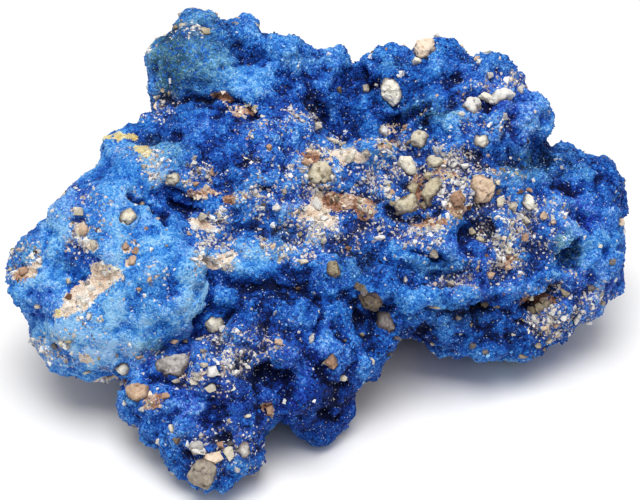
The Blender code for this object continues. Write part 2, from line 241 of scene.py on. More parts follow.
# each spot: pixel across, pixel down, half width, half height, strength
# lighter spots: partly the rock's own paler colour, partly painted light on lit rims and ridges and on the
# floors of hollows
lightToneAndLitSpots = {
    "left lobe": (112, 262, 98, 84, 0.26),
    "left lobe foot": (108, 345, 82, 40, 0.24),
    "left lobe brow": (130, 175, 55, 34, 0.14),
    "brow slope": (152, 168, 14, 14, 0.16),
    "left lobe left": (34, 290, 22, 36, 0.08),
    "left lobe rim": (192, 292, 16, 34, 0.24),
    "lobe heart": (60, 228, 24, 22, 0.08),
    "lobe sole": (118, 348, 34, 9, 0.12),
    "rim patch": (250, 258, 28, 14, 0.28),
    "rim patch right": (298, 246, 32, 14, 0.20),
    "middle patch": (402, 246, 14, 10, 0.20),
    "middle left": (440, 318, 12, 12, 0.14),
    "upper right edge": (520, 100, 26, 40, 0.05),
    "ridge foot": (245, 86, 26, 16, 0.14),
    "ridge shoulder": (262, 46, 18, 20, 0.08),
    "upper ridge": (300, 70, 50, 36, 0.02),
    "top right crown": (405, 62, 44, 18, 0.08),
    "crown spot": (441, 88, 6, 6, 0.24),
    "right lobe ridges": (588, 220, 20, 46, 0.12),
    "right ledge": (520, 288, 36, 9, 0.12),
    "right flank": (540, 205, 30, 30, 0.10),
    "centre right": (440, 268, 50, 14, 0.05),
    "front leg knuckle": (298, 350, 26, 22, 0.12),
    "front leg side": (365, 358, 12, 18, 0.14),
    "toe patch": (200, 408, 22, 14, 0.14),
    "toe corner": (238, 462, 22, 7, 0.18),
    "heel": (330, 430, 12, 8, 0.12),
    "upper right": (498, 118, 56, 36, 0.09),
    "knob": (200, 60, 44, 50, 0.06),
    "slot floor": (280, 384, 20, 15, 0.18),
    "right hollow floor": (570, 256, 12, 14, 0.24),
    "right rim": (583, 262, 6, 14, 0.16),
}
# darker spots: partly the rock's own darker colour, partly painted shade in pits, crevices and recesses and
# under overhangs
darkToneAndShadeSpots = {
    "crevice": (182, 200, 18, 12, 0.24),
    "under the rim": (262, 292, 40, 16, 0.20),
    "pit": (484, 232, 12, 13, 0.34),
    "top pit": (453, 78, 9, 8, 0.16),
    "front leg": (285, 400, 85, 60, 0.17),
    "leg back": (250, 330, 26, 22, 0.15),
    "heel": (322, 418, 30, 28, 0.19),
    "leg recess": (360, 312, 10, 12, 0.20),
    "right underside": (480, 335, 90, 24, 0.20),
    "right recess": (543, 302, 20, 7, 0.18),
    "right scales": (566, 190, 12, 7, 0.22),
    "right fold": (560, 268, 26, 5, 0.06),
    "right top": (560, 158, 24, 12, 0.08),
    "ridge hollow": (312, 103, 14, 16, 0.16),
    "saddle": (372, 86, 10, 10, 0.30),
    "leg edge": (378, 350, 10, 22, 0.24),
    "knob side": (168, 72, 12, 22, 0.10),
    "lobe gap": (84, 222, 10, 8, 0.22),
    "lobe gap left": (52, 300, 20, 12, 0.22),
    "lobe edge left": (30, 244, 12, 14, 0.12),
    "cluster": (417, 190, 26, 28, 0.22),
    "by the pink pebble": (486, 204, 22, 6, 0.25),
    "royal slope": (195, 140, 60, 40, 0.04),
    "middle": (380, 258, 84, 34, 0.05),
    "right mid": (520, 262, 44, 40, 0.07),
    "right lobe": (590, 220, 34, 60, 0.03),
    "leg right": (330, 395, 30, 40, 0.06),
}
greenSpots = {
    "knob": (196, 52, 42, 44, 0.75),
    "knob side": (168, 66, 16, 30, 0.80),
    "lobe brow": (160, 148, 26, 14, 0.60),
    "crown": (430, 112, 30, 12, 0.70),
    "crown top": (400, 66, 16, 10, 0.35),
    "centre": (282, 236, 16, 14, 0.60),
    "middle": (352, 262, 24, 16, 0.45),
    "middle right": (440, 268, 34, 8, 0.45),
    "right shoulder": (545, 162, 40, 16, 0.55),
    "right hollow": (566, 248, 16, 20, 0.90),
    "right flank": (524, 172, 18, 12, 0.35),
    "right ledge": (455, 316, 34, 12, 0.35),
    "ridge": (305, 58, 24, 8, 0.35),
    "lobe patch": (152, 345, 10, 8, 0.75),
    "lobe patch left": (64, 262, 12, 6, 0.45),
    "lobe edge": (24, 252, 12, 12, 0.40),
    "leg": (245, 360, 20, 30, 0.25),
}
violetSpots = {
    "leg": (215, 400, 72, 44, 0.60),
    "leg right": (320, 385, 44, 50, 0.60),
    "leg top": (250, 340, 46, 22, 0.45),
    "centre": (296, 200, 26, 14, 0.70),
    "middle": (420, 240, 34, 14, 0.60),
    "middle left": (330, 232, 30, 16, 0.50),
    "right lobe": (575, 214, 36, 22, 0.65),
    "right low": (596, 292, 34, 34, 0.60),
    "right ledge": (490, 282, 50, 10, 0.45),
    "below the pit": (470, 254, 30, 12, 0.60),
    "upper right": (492, 92, 44, 30, 0.45),
    "top right edge": (522, 120, 22, 28, 0.45),
    "ridge": (310, 96, 40, 40, 0.30),
    "slope": (240, 140, 60, 30, 0.30),
    "scar brow": (100, 262, 16, 7, 0.80),
    "lobe brow": (72, 196, 20, 22, 0.50),
    "lobe left": (46, 302, 18, 14, 0.60),
    "lobe low": (110, 352, 80, 12, 0.40),
    "lobe side": (190, 338, 12, 16, 0.70),
}
gritSpots = {
    "stone band": (378, 176, 112, 32, 0.92),
    "band left": (290, 190, 50, 26, 0.60),
    "beside the lobe": (214, 226, 22, 14, 0.95),
    "lobe neck": (214, 256, 26, 12, 0.95),
    "crevice bank": (190, 176, 30, 12, 0.45),
    "lobe brow": (90, 226, 22, 32, 0.50),
    "lobe rim": (24, 258, 20, 20, 0.50),
    "lobe low": (70, 346, 40, 16, 0.55),
    "lobe foot": (130, 360, 40, 12, 0.30),
    "scar edge": (84, 318, 20, 8, 0.60),
    "right low": (576, 312, 44, 30, 0.68),
    "right band": (520, 228, 40, 30, 0.66),
    "below the pit": (494, 268, 26, 12, 0.75),
    "toes": (222, 452, 44, 24, 0.62),
    "leg side": (212, 376, 30, 18, 0.75),
    "leg middle": (250, 345, 40, 20, 0.48),
    "middle": (350, 230, 46, 16, 0.66),
    "middle right": (426, 232, 24, 20, 0.50),
    "middle low": (450, 284, 26, 10, 0.40),
    "upper slope": (282, 122, 34, 14, 0.52),
    "top right": (490, 84, 30, 14, 0.55),
    "shoulder": (490, 128, 34, 10, 0.58),
    "knob": (190, 32, 18, 12, 0.35),
    "slope": (160, 106, 16, 12, 0.40),
    "brow": (150, 172, 22, 24, 0.30),
    "centre": (292, 228, 44, 26, 0.50),
    "lobe middle": (142, 285, 40, 20, 0.22),
    "lobe heart": (100, 236, 26, 12, 0.45),
}
crustSpots = {
    "scar": (104, 275, 16, 12, 1.0),
    "scar middle": (90, 288, 16, 10, 1.0),
    "scar tail": (78, 300, 16, 12, 1.0),
    "scar foot": (66, 314, 10, 6, 0.8),
    "lobe rim": (24, 271, 13, 8, 0.9),
    "white heart": (319, 204, 10, 13, 0.9),
    "white heart foot": (322, 219, 13, 6, 0.9),
    "white heart left": (304, 214, 10, 4, 0.7),
    "lobe neck": (212, 262, 18, 6, 0.9),
    "lobe neck right": (226, 254, 12, 6, 0.8),
    "neck top": (204, 228, 14, 8, 0.7),
    "below the pit": (502, 264, 9, 6, 0.7),
    "leg side": (100, 384, 26, 4, 0.9),
    "leg skirt": (196, 376, 18, 5, 0.6),
    "band pale": (352, 156, 22, 8, 0.7),
    "band crown": (338, 140, 18, 6, 0.5),
    "band top": (394, 128, 12, 5, 0.5),
    "brown crack": (238, 106, 16, 4, 0.5),
    "lobe crumb": (96, 246, 8, 7, 0.8),
    "lobe crumb left": (85, 229, 8, 8, 0.7),
    "lobe crumb right": (123, 246, 5, 5, 0.7),
    "lobe fleck": (128, 262, 5, 7, 0.8),
    "lobe side fleck": (38, 262, 6, 5, 0.7),
    "lobe low fleck": (84, 356, 7, 4, 0.7),
}
rustSpots = {
    "rust seam": (348, 201, 26, 8, 1.0),
    "seam foot": (364, 213, 10, 6, 0.8),
    "seam right": (428, 222, 20, 5, 0.8),
    "seam far right": (458, 206, 14, 6, 0.7),
    "salmon block": (310, 156, 12, 8, 0.8),
    "crack left": (222, 98, 12, 3, 0.9),
    "crack right": (243, 110, 14, 4, 0.9),
    "leg crumb": (268, 408, 7, 8, 0.6),
    "leg wall": (150, 400, 12, 10, 0.7),
    "crevice back": (196, 194, 12, 5, 0.5),
    "neck line": (232, 203, 12, 3, 0.8),
    "right speck": (505, 256, 8, 5, 0.8),
    "lobe rim": (20, 276, 8, 5, 0.6),
    "shoulder": (448, 176, 18, 6, 0.5),
    "band line": (386, 144, 12, 4, 0.7),
    "slope seam": (250, 138, 3, 14, 0.5),
    "cluster": (418, 190, 12, 18, 0.55),
    "crevice edge": (188, 184, 16, 4, 0.45),
    "crevice line": (207, 198, 16, 4, 0.5),
    "recess": (536, 300, 16, 6, 0.7),
    "by the orange pebble": (456, 212, 9, 5, 0.7),
}
ochreSpots = {
    "brow cap": (112, 137, 10, 6, 1.0),
    "brow cap right": (130, 134, 9, 4, 0.9),
    "brow pebble": (143, 152, 8, 6, 0.9),
    "scar foot": (62, 314, 6, 5, 0.6),
    "brow line": (104, 158, 4, 10, 0.4),
}
powderSpots = {
    "left lobe": (112, 255, 100, 96, 0.85),
    "lobe foot": (110, 345, 84, 36, 0.7),
    "lobe brow": (140, 160, 46, 26, 0.6),
    "knob": (200, 62, 46, 56, 0.75),
    "rim patch": (260, 256, 36, 18, 0.6),
    "ridge foot": (250, 80, 26, 18, 0.5),
    "crown": (420, 90, 40, 26, 0.45),
    "right flank": (545, 205, 34, 30, 0.4),
    "right ridges": (585, 230, 30, 46, 0.35),
    "heel": (322, 415, 30, 34, 0.60),
    "foot edge": (284, 424, 12, 26, 0.50),
}

# seams and hollows cut into the rock and painted with shade: half width in pixels, depth in metres, then the
# line
cracks = {
    "lobe crevice": (3.5, 0.0016, (131, 197), (141, 203), (150, 207), (157, 212), (164, 220)),
    "under the cream pebble": (6, 0.0011, (168, 192), (180, 194), (191, 198)),
    "crevice floor": (5, 0.0009, (172, 206), (184, 209), (196, 205)),
    "knob foot": (3.5, 0.0009, (160, 99), (178, 102), (197, 99), (212, 99)),
    "brown crack": (3, 0.0009, (213, 97), (226, 97), (236, 101), (247, 108), (256, 115)),
    "scar brow": (3.5, 0.0004, (80, 246), (87, 255), (96, 260), (104, 262)),
    "scar left": (3.5, 0.0004, (48, 291), (58, 289), (68, 283), (80, 276)),
    "lobe side": (4, 0.0004, (30, 312), (42, 315), (54, 320)),
    "lobe pit": (4, 0.0004, (74, 221), (83, 224)),
    "lobe upper pit": (4, 0.0005, (76, 186), (80, 194)),
    "rim shadow": (4.5, 0.0008, (228, 280), (246, 285), (264, 287), (284, 286), (306, 288)),
    "lobe rim": (4.5, 0.0010, (208, 266), (212, 283), (209, 300), (201, 314), (196, 324)),
    "lobe sole": (3.5, 0.0004, (150, 378), (166, 381), (182, 383), (196, 386)),
    "leg groove": (3, 0.0004, (260, 364), (258, 378), (261, 392)),
    "foot fold": (3, 0.0004, (180, 437), (195, 440), (206, 441), (219, 438), (229, 441)),
    "knob ring": (2.5, 0.0005, (226, 26), (236, 37), (241, 50), (240, 62), (231, 68), (220, 69)),
    "right recess": (4, 0.0007, (524, 303), (534, 300), (546, 294), (556, 290)),
    "recess left": (4, 0.0009, (505, 312), (515, 318), (520, 322)),
    "cluster shadow": (4, 0.0010, (386, 206), (396, 214), (410, 219), (426, 219), (438, 209), (448, 201)),
    "band line": (2.5, 0.0007, (338, 194), (352, 196), (370, 196), (384, 198)),
    "bar shadow": (2.5, 0.0009, (482, 111), (490, 105), (499, 100), (508, 98)),
    "crown groove": (5, 0.0008, (424, 118), (434, 112), (448, 108)),
    "shoulder": (5, 0.0007, (468, 152), (478, 160), (485, 168)),
    "saddle": (5, 0.0009, (361, 76), (366, 88), (378, 84)),
    "right swirl": (5, 0.0002, (546, 226), (562, 229), (575, 240), (576, 252), (566, 262), (552, 264)),
    "right top": (4, 0.0008, (598, 180), (608, 183), (618, 186)),
    "right scales": (5, 0.0007, (556, 186), (566, 190), (576, 192)),
    "leg recess": (4, 0.0008, (352, 302), (358, 312), (362, 320)),
    "centre seam": (3.5, 0.0008, (262, 191), (275, 197), (286, 201)),
    "slope seam": (3.5, 0.0006, (238, 165), (250, 162), (262, 167)),
    "under the tan block": (2.5, 0.0007, (308, 186), (320, 189), (332, 190)),
    "centre dark": (4, 0.0008, (412, 252), (424, 257), (436, 259)),
    "beside the pit": (5, 0.0008, (462, 236), (464, 246), (474, 258)),
    "below the ledge": (5, 0.0010, (430, 312), (448, 314), (470, 311), (486, 309)),
    "leg seam": (3.5, 0.0008, (318, 372), (330, 384), (346, 386)),
    "heel seam": (3.5, 0.0008, (322, 412), (332, 418), (340, 416)),
    "middle seam": (3, 0.0007, (318, 300), (322, 316), (318, 334)),
    "ridge hollow": (7, 0.0004, (306, 98), (314, 108)),
}
# rounded ribs that stand proud: half width in pixels, height in metres, then the line
ribs = {
    "swirl outside": (5, 0.0005, (556, 200), (572, 205), (588, 214), (597, 228), (600, 244), (594, 258),
                      (580, 268), (562, 276), (548, 280)),
    "swirl inside": (4, 0.0004, (545, 206), (560, 214), (578, 224), (586, 236), (585, 250)),
    "crest": (3, 0.0004, (313, 85), (323, 90), (328, 100), (333, 113)),
    "foot edge": (3.5, 0.0005, (257, 464), (261, 446), (267, 432), (281, 422), (291, 413), (298, 403)),
    "lobe rim": (7, 0.0004, (196, 262), (203, 278), (203, 296), (196, 312), (190, 330), (180, 345)),
    "rim patch": (6, 0.0006, (230, 264), (246, 270), (262, 272), (284, 269), (298, 265)),
    "right ledge": (6, 0.0006, (424, 292), (446, 294), (470, 292), (492, 292), (510, 290), (524, 286),
                    (536, 278)),
    "crown shelf": (4, 0.0004, (385, 114), (405, 111), (418, 104), (440, 100)),
}


def spotted(points, spots, seed, raggedness=6):
    # how far each point is inside the spots, which have ragged edges
    px, py = toPixels(points)
    px = px + raggedness * cloudField(points, 0.0035, 3, seed)
    py = py + raggedness * cloudField(points, 0.0035, 3, seed + 1)
    total = np.zeros(len(points))
    for across, down, halfWidth, halfHeight, strength in spots.values():
        reach = ((px - across) / halfWidth) ** 2 + ((py - down) / halfHeight) ** 2
        total += strength * np.exp(-0.8 * reach**2)
    return total


def lined(points, lines, seed):
    # how near each point is to each line, 0 to 1, times the line's own depth or height
    px, py = toPixels(points)
    px = px + 3 * cloudField(points, 0.0022, 3, seed)
    py = py + 3 * cloudField(points, 0.0022, 3, seed + 1)
    most = np.zeros(len(points))
    for halfWidth, amount, *corners in lines.values():
        nearest = np.full(len(points), 1e9)
        for (ax, ay), (bx, by) in zip(corners, corners[1:]):
            length = (bx - ax) ** 2 + (by - ay) ** 2
            along = np.clip(((px - ax) * (bx - ax) + (py - ay) * (by - ay)) / length, 0, 1)
            aside = px - ax - along * (bx - ax)
            below = py - ay - along * (by - ay)
            nearest = np.minimum(nearest, aside**2 + below**2)
        most = np.maximum(most, amount * np.exp(-0.9 * nearest / halfWidth**2))
    return most


def patches(points, size, seed, share):
    # patches that cover about a share of the surface
    field = cloudField(points, size, 3, seed)
    edge = np.quantile(field, 1 - share)
    return smoothStep(edge - 0.18, edge + 0.18, field)


def seenShare(points, normals, tree, edges):
    # 1 where the camera sees the rock, 0 where it is hidden, with a soft edge
    start = Vector(eye)
    seen = np.zeros(len(points))
    slack = 0.0012  # metres, so that a point doesn't hide itself
    for index in np.flatnonzero(normals @ forward < 0.15):
        way = Vector(points[index]) - start
        hit = tree.ray_cast(start, way.normalized(), way.length - slack)[0]
        seen[index] = hit is None
    return averaged(seen, edges, 8)


# the colour attributes that carry the zones, with up to three numbers in each
zoneLayers = {
    "zones": ("tone", "green", "grit"),
    "skin": ("crust", "rust", "ochre"),
    "dust": ("powder", "violet"),
}


# each zone: its spots, their seed and raggedness, then the patches where the camera doesn't see:
# how strong they are, their size in metres, their seed and the share that they cover
zoneSources = {
    "green": (greenSpots, 30, 6, 0.50, 0.012, 5, 0.30),
    "grit": (gritSpots, 40, 6, 0.50, 0.014, 6, 0.35),
    "crust": (crustSpots, 50, 4, 0.95, 0.009, 7, 0.08),
    "rust": (rustSpots, 60, 4, 0.85, 0.007, 8, 0.05),
    "ochre": (ochreSpots, 70, 4, 0.80, 0.008, 11, 0.015),
    "powder": (powderSpots, 80, 6, 0.80, 0.015, 12, 0.40),
    "violet": (violetSpots, 85, 6, 0.50, 0.013, 13, 0.35),
}
zoneShape = {
    "tone": 0.44,  # of the plain rock
    "toneClouds": ((0.13, 0.007, 4, 1), (0.06, 0.0018, 2, 2)),  # swing, size, octaves, seed
    "hiddenTone": ((0.20, 0.016, 3, 0.35), (-0.10, 0.013, 4, 0.3)),  # swing, size, seed, share
    # painted shade in the cracks
    "crackShade": 160,  # how much tone a metre of depth takes
    "clumps": (0.3, 0.8, 0.0050, 9, 0.5),  # of grit: least, how much more, size, seed, share
    "fineClumps": (0.5, 1.1, 0.0018, 10, 0.45),
    "violetFlecks": (0.8, 0.22, 0.0030, 14, 0.3),  # share of the zone, strength, size, seed, share
}


def zonesAt(points, seen, cut):
    # what the surface is like, each number from 0 to 1
    hidden = 1 - seen
    clouds = (swing * cloudField(points, *cloud) for swing, *cloud in zoneShape["toneClouds"])
    tone = sum(clouds, zoneShape["tone"])
    # painted light and shade, along with the rock's own paler and darker tone
    tone += seen * (spotted(points, lightToneAndLitSpots, 10) - spotted(points, darkToneAndShadeSpots, 20))
    tone += hidden * sum(swing * patches(points, *patch) for swing, *patch in zoneShape["hiddenTone"])
    # painted shade in the cracks, as deep as they are cut
    tone -= zoneShape["crackShade"] * cut
    zones = {"tone": tone}
    for name, (spots, seed, raggedness, strength, *patch) in zoneSources.items():
        zones[name] = seen * spotted(points, spots, seed, raggedness)
        zones[name] += strength * hidden * patches(points, *patch)
    clumps = 1
    for key in ("clumps", "fineClumps"):
        least, more, *patch = zoneShape[key]
        clumps = clumps * (least + more * patches(points, *patch))
    zones["grit"] *= clumps
    share, strength, *patch = zoneShape["violetFlecks"]
    zones["violet"] = share * zones["violet"] + strength * patches(points, *patch)
    return {name: np.clip(values, 0, 1) for name, values in zones.items()}


def newMaterial(name):
    material = bpy.data.materials.new(name)
    material.use_nodes = True
    return material, material.node_tree, material.node_tree.nodes["Principled BSDF"]


def addNode(tree, kind, inputs=None, **settings):
    node = tree.nodes.new("ShaderNode" + kind)
    for key, value in settings.items():
        setattr(node, key, value)
    for key, value in (inputs or {}).items():
        if isinstance(value, bpy.types.NodeSocket):
            tree.links.new(value, node.inputs[key])
        else:
            node.inputs[key].default_value = value
    return node


def calc(operation, first, second, clamp=False):
    # one of the two may be a plain number
    tree = (first if isinstance(first, bpy.types.NodeSocket) else second).id_data
    return addNode(tree, "Math", {0: first, 1: second}, operation=operation, use_clamp=clamp).outputs[0]


def plus(first, second, clamp=False):
    return calc("ADD", first, second, clamp)


def minus(first, second, clamp=False):
    return calc("SUBTRACT", first, second, clamp)


def times(first, second, clamp=False):
    return calc("MULTIPLY", first, second, clamp)


def isAbove(first, second):
    return calc("GREATER_THAN", first, second)


def swung(value, amount):
    # a value from 0 to 1, made to swing that much about 0
    return times(minus(value, 0.5), amount)


def blended(factor, first, second):
    return addNode(factor.id_data, "Mix", {0: factor, 6: first, 7: second}, data_type="RGBA").outputs[2]


def linear(red, green, blue):
    # a colour as a picture program shows it, 0 to 255, made linear
    parts = [part / 255 for part in (red, green, blue)]
    return tuple(p / 12.92 if p <= 0.04045 else ((p + 0.055) / 1.055) ** 2.4 for p in parts) + (1,)


def ramp(factor, stops):
    node = addNode(factor.id_data, "ValToRGB", {0: factor})
    bar = node.color_ramp
    while len(bar.elements) < len(stops):
        bar.elements.new(1)
    for element, (position, colour) in zip(bar.elements, stops):
        element.position = position
        element.color = linear(*colour)
    return node.outputs[0]


def attributeParts(tree, name):
    colour = addNode(tree, "Attribute", attribute_name=name).outputs["Color"]
    return addNode(tree, "SeparateColor", {0: colour}).outputs[:3]


def cloudNode(place, scale, detail, roughness, distortion=0.0):
    inputs = {"Vector": place, "Scale": scale, "Detail": detail, "Roughness": roughness}
    inputs["Distortion"] = distortion
    return addNode(place.id_data, "TexNoise", inputs).outputs["Fac"]


def grainCells(place, perMillimetre):
    # flat cells like single grains: the cell's three random numbers and the distance to its middle
    cells = addNode(place.id_data, "TexVoronoi", {"Vector": place, "Scale": perMillimetre * 1000})
    parts = addNode(place.id_data, "SeparateColor", {0: cells.outputs["Color"]}).outputs
    return parts[0], parts[1], parts[2], cells.outputs["Distance"]


def dress(shader, colour, roughness, height, strength, depth):
    # links the colour, the roughness and a relief of that strength and depth in metres
    tree = colour.id_data
    bump = addNode(tree, "Bump", {"Height": height, "Strength": strength, "Distance": depth})
    for key, socket in (("Base Color", colour), ("Roughness", roughness), ("Normal", bump.outputs[0])):
        tree.links.new(socket, shader.inputs[key])


def evenStops(*colours):
    return [(index / (len(colours) - 1), colour) for index, colour in enumerate(colours)]


# colours from dark to light, as a picture program shows them
blueStops = [
    (0.00, (3, 15, 54)),
    (0.14, (6, 34, 98)),
    (0.28, (11, 56, 140)),
    (0.42, (21, 82, 173)),
    (0.56, (36, 107, 198)),
    (0.70, (60, 138, 220)),
    (0.84, (92, 166, 234)),
    (1.00, (150, 204, 246)),
]
violetStops = [
    (0.00, (7, 9, 50)),
    (0.16, (13, 20, 94)),
    (0.34, (25, 40, 146)),
    (0.52, (42, 60, 182)),
    (0.70, (74, 100, 208)),
    (0.86, (124, 150, 228)),
    (1.00, (182, 200, 244)),
]
greenStops = [
    (0.00, (8, 20, 34)),
    (0.20, (22, 50, 74)),
    (0.45, (52, 96, 122)),
    (0.75, (92, 142, 162)),
    (1.00, (150, 192, 200)),
]
paleStops = evenStops(
    (86, 76, 92), (150, 136, 140), (200, 184, 176), (226, 216, 208), (240, 236, 232), (254, 253, 252)
)
crustStops = [
    (0.00, (96, 72, 66)),
    (0.30, (186, 156, 138)),
    (0.55, (224, 200, 178)),
    (0.80, (240, 224, 206)),
    (1.00, (252, 248, 242)),
]
rustStops = [(0.0, (34, 20, 22)), (0.35, (88, 58, 50)), (0.65, (172, 124, 98)), (1.0, (230, 208, 190))]
ochreStops = [(0.0, (120, 96, 50)), (0.4, (196, 168, 96)), (0.7, (228, 208, 146)), (1.0, (236, 232, 190))]

rockFinish = {
    "grainsPerMm": 3.6,
    "finePerMm": 8.0,
    "clouds": (1100, 4, 0.65),  # scale, detail and roughness
    "grainSwing": 0.40,  # how much lighter or darker single grains are
    "fineSwing": 0.28,
    "cloudSwing": 0.42,
    "calm": 0.25,  # how much of the grains' swing powder takes away
    # painted shade in hollows, and lighter ridges
    "hollowShade": 0.34,
    "greenFrom": 0.75,  # the lower, the more grains of a green zone are green
    "violetFrom": 0.80,
    "paleShare": 0.68,  # of the grains that are pale where the grit is thickest
    "paleSwings": (0.9, 0.7),  # how much the grains and the clouds change the pale tone
    "dullness": 0.58,  # how far the grit veils the blue
    "veil": (134, 138, 154),
    # painted glints: pale blue flecks on a few fine grains
    "paintedGlintFrom": 0.98,
    "paintedGlintShare": 0.7,
    "paintedGlint": (190, 212, 244),
    # the hollows' share of the crust's tone is painted shade
    "crustSwings": (0.25, 1.15, 0.15),  # how much grains, clouds and hollows change the crust's tone
    "crustEdge": (0.3, 0.6),  # how ragged its edge is, and how strong a zone must be to show
    "roughness": 0.62,
    "roughSwings": (0.3, 0.2),  # of the grains, and of powder
    "reliefShares": (0.5, 1.2),  # of the fine grains and of the clouds
    "bump": (0.8, 0.00020),  # strength and depth
}


def rockMaterial():
    material, tree, shader = newMaterial("azurite rock")
    place = addNode(tree, "TexCoord").outputs["Object"]
    tone, green, grit = attributeParts(tree, "zones")
    crust, rust, ochre = attributeParts(tree, "skin")
    powder, violet, _ = attributeParts(tree, "dust")
    cavity = attributeParts(tree, "hollows")[0]
    one, two, three, distance = grainCells(place, rockFinish["grainsPerMm"])
    fineOne, fineTwo, _, fineDistance = grainCells(place, rockFinish["finePerMm"])
    cloud = cloudNode(place, *rockFinish["clouds"])

    # how light the blue is: the zone, single grains, soft clouds, and painted shade in the hollows with
    # lighter ridges
    calm = minus(1.0, times(powder, rockFinish["calm"]))
    grains = plus(swung(one, rockFinish["grainSwing"]), swung(fineOne, rockFinish["fineSwing"]))
    light = plus(plus(tone, times(grains, calm)), swung(cloud, rockFinish["cloudSwing"]))
    light = minus(light, times(cavity, rockFinish["hollowShade"]), clamp=True)
    greenness = times(green, isAbove(plus(two, cloud), rockFinish["greenFrom"]))
    violetness = times(violet, isAbove(plus(three, cloud), rockFinish["violetFrom"]))
    colour = blended(violetness, ramp(light, blueStops), ramp(light, violetStops))
    colour = blended(greenness, colour, ramp(light, greenStops))

    # pale grains of grit among the blue ones, the grey veil of grit dust, and painted glints
    grainShare, cloudShare = rockFinish["paleSwings"]
    paleTone = plus(times(three, grainShare), swung(cloud, cloudShare))
    gritty = isAbove(times(grit, rockFinish["paleShare"]), two)
    colour = blended(gritty, colour, ramp(paleTone, paleStops))
    dull = times(grit, times(fineOne, rockFinish["dullness"]))
    colour = blended(dull, colour, linear(*rockFinish["veil"]))
    paintedGlint = times(isAbove(fineTwo, rockFinish["paintedGlintFrom"]), rockFinish["paintedGlintShare"])
    colour = blended(paintedGlint, colour, linear(*rockFinish["paintedGlint"]))

    # crumbly crust, rust and ochre
    grainShare, cloudShare, hollowShadeShare = rockFinish["crustSwings"]
    crustTone = minus(plus(times(one, grainShare), times(cloud, cloudShare)), times(cavity, hollowShadeShare))
    ragged, edge = rockFinish["crustEdge"]
    for share, stops, mark in ((crust, crustStops, two), (rust, rustStops, three), (ochre, ochreStops, one)):
        covered = isAbove(plus(share, times(mark, ragged)), edge)
        colour = blended(covered, colour, ramp(crustTone, stops))

    grainShare, powderShare = rockFinish["roughSwings"]
    roughness = plus(rockFinish["roughness"], swung(two, grainShare))
    roughness = plus(roughness, times(powder, powderShare), clamp=True)
    fineShare, cloudShare = rockFinish["reliefShares"]
    relief = minus(times(cloud, cloudShare), plus(distance, times(fineDistance, fineShare)))
    dress(shader, colour, roughness, relief, *rockFinish["bump"])
    shader.inputs["Specular IOR Level"].default_value = 0.12
    return material


crystalFinish = {
    "clouds": (4200, 3, 0.6),
    "cloudSwing": 0.3,
    "roughness": 0.8,
    "polish": 0.55,  # how much less rough the glossiest crystals are
    "bump": (0.3, 0.00005),
}


def crystalMaterial():
    # each crystal has its own tone, hue and gloss: the hue runs from violet through blue to green
    material, tree, shader = newMaterial("azurite crystals")
    place = addNode(tree, "TexCoord").outputs["Object"]
    tone, hue, gloss = attributeParts(tree, "grain")
    green = times(minus(hue, 0.5), 2.0, clamp=True)
    violet = times(minus(0.5, hue), 2.0, clamp=True)
    cloud = cloudNode(place, *crystalFinish["clouds"])
    light = plus(tone, swung(cloud, crystalFinish["cloudSwing"]), clamp=True)
    colour = blended(violet, ramp(light, blueStops), ramp(light, violetStops))
    colour = blended(green, colour, ramp(light, greenStops))
    roughness = minus(crystalFinish["roughness"], times(gloss, crystalFinish["polish"]))
    dress(shader, colour, roughness, cloud, *crystalFinish["bump"])
    shader.inputs["Specular IOR Level"].default_value = 0.28
    return material


stoneLook = {
    "mottles": (1300, 6, 0.72),
    "broad": (420, 3, 0.6, 1.2),  # scale, detail, roughness and distortion
    "cellsPerMm": 6.0,
    "swings": (0.42, 0.36, 0.12),  # of the mottles, the broad clouds and the cells
    # a brown stain, with painted shade, where a stone meets the rock
    "contactStainAndShadeFrom": 0.35,
    "contactStainAndShade": (80, 62, 60),
    "specks": (0.004, 0.45),  # share of blue cells on clean stone, and how much more dust brings
    "speckShare": 0.6,
    "speck": (58, 84, 134),
    "roughSwing": 0.3,
    "cellRelief": 0.35,
    "bump": (0.7, 0.00025),
}


def stoneMaterial(name, roughness, *colours):
    # a pebble or grain: mottled, with its own tone, and stained and painted with shade where it meets the
    # rock
    material, tree, shader = newMaterial(name)
    place = addNode(tree, "TexCoord").outputs["Object"]
    tone, rimStainAndShade, dust = attributeParts(tree, "grain")
    mottle = cloudNode(place, *stoneLook["mottles"])
    broad = cloudNode(place, *stoneLook["broad"])
    one, two, _, distance = grainCells(place, stoneLook["cellsPerMm"])
    mottleSwing, broadSwing, cellSwing = stoneLook["swings"]
    light = plus(plus(tone, swung(mottle, mottleSwing)), swung(broad, broadSwing))
    light = plus(light, swung(one, cellSwing), clamp=True)
    contactStainAndShade = times(rimStainAndShade, plus(broad, stoneLook["contactStainAndShadeFrom"]), clamp=True)
    colour = blended(contactStainAndShade, ramp(light, evenStops(*colours)), linear(*stoneLook["contactStainAndShade"]))
    least, more = stoneLook["specks"]
    speck = times(isAbove(plus(least, times(dust, more)), two), stoneLook["speckShare"])
    colour = blended(speck, colour, linear(*stoneLook["speck"]))
    rough = plus(roughness, swung(mottle, stoneLook["roughSwing"]), clamp=True)
    height = minus(mottle, times(distance, stoneLook["cellRelief"]))
    dress(shader, colour, rough, height, *stoneLook["bump"])
    shader.inputs["Specular IOR Level"].default_value = 0.18
    return material


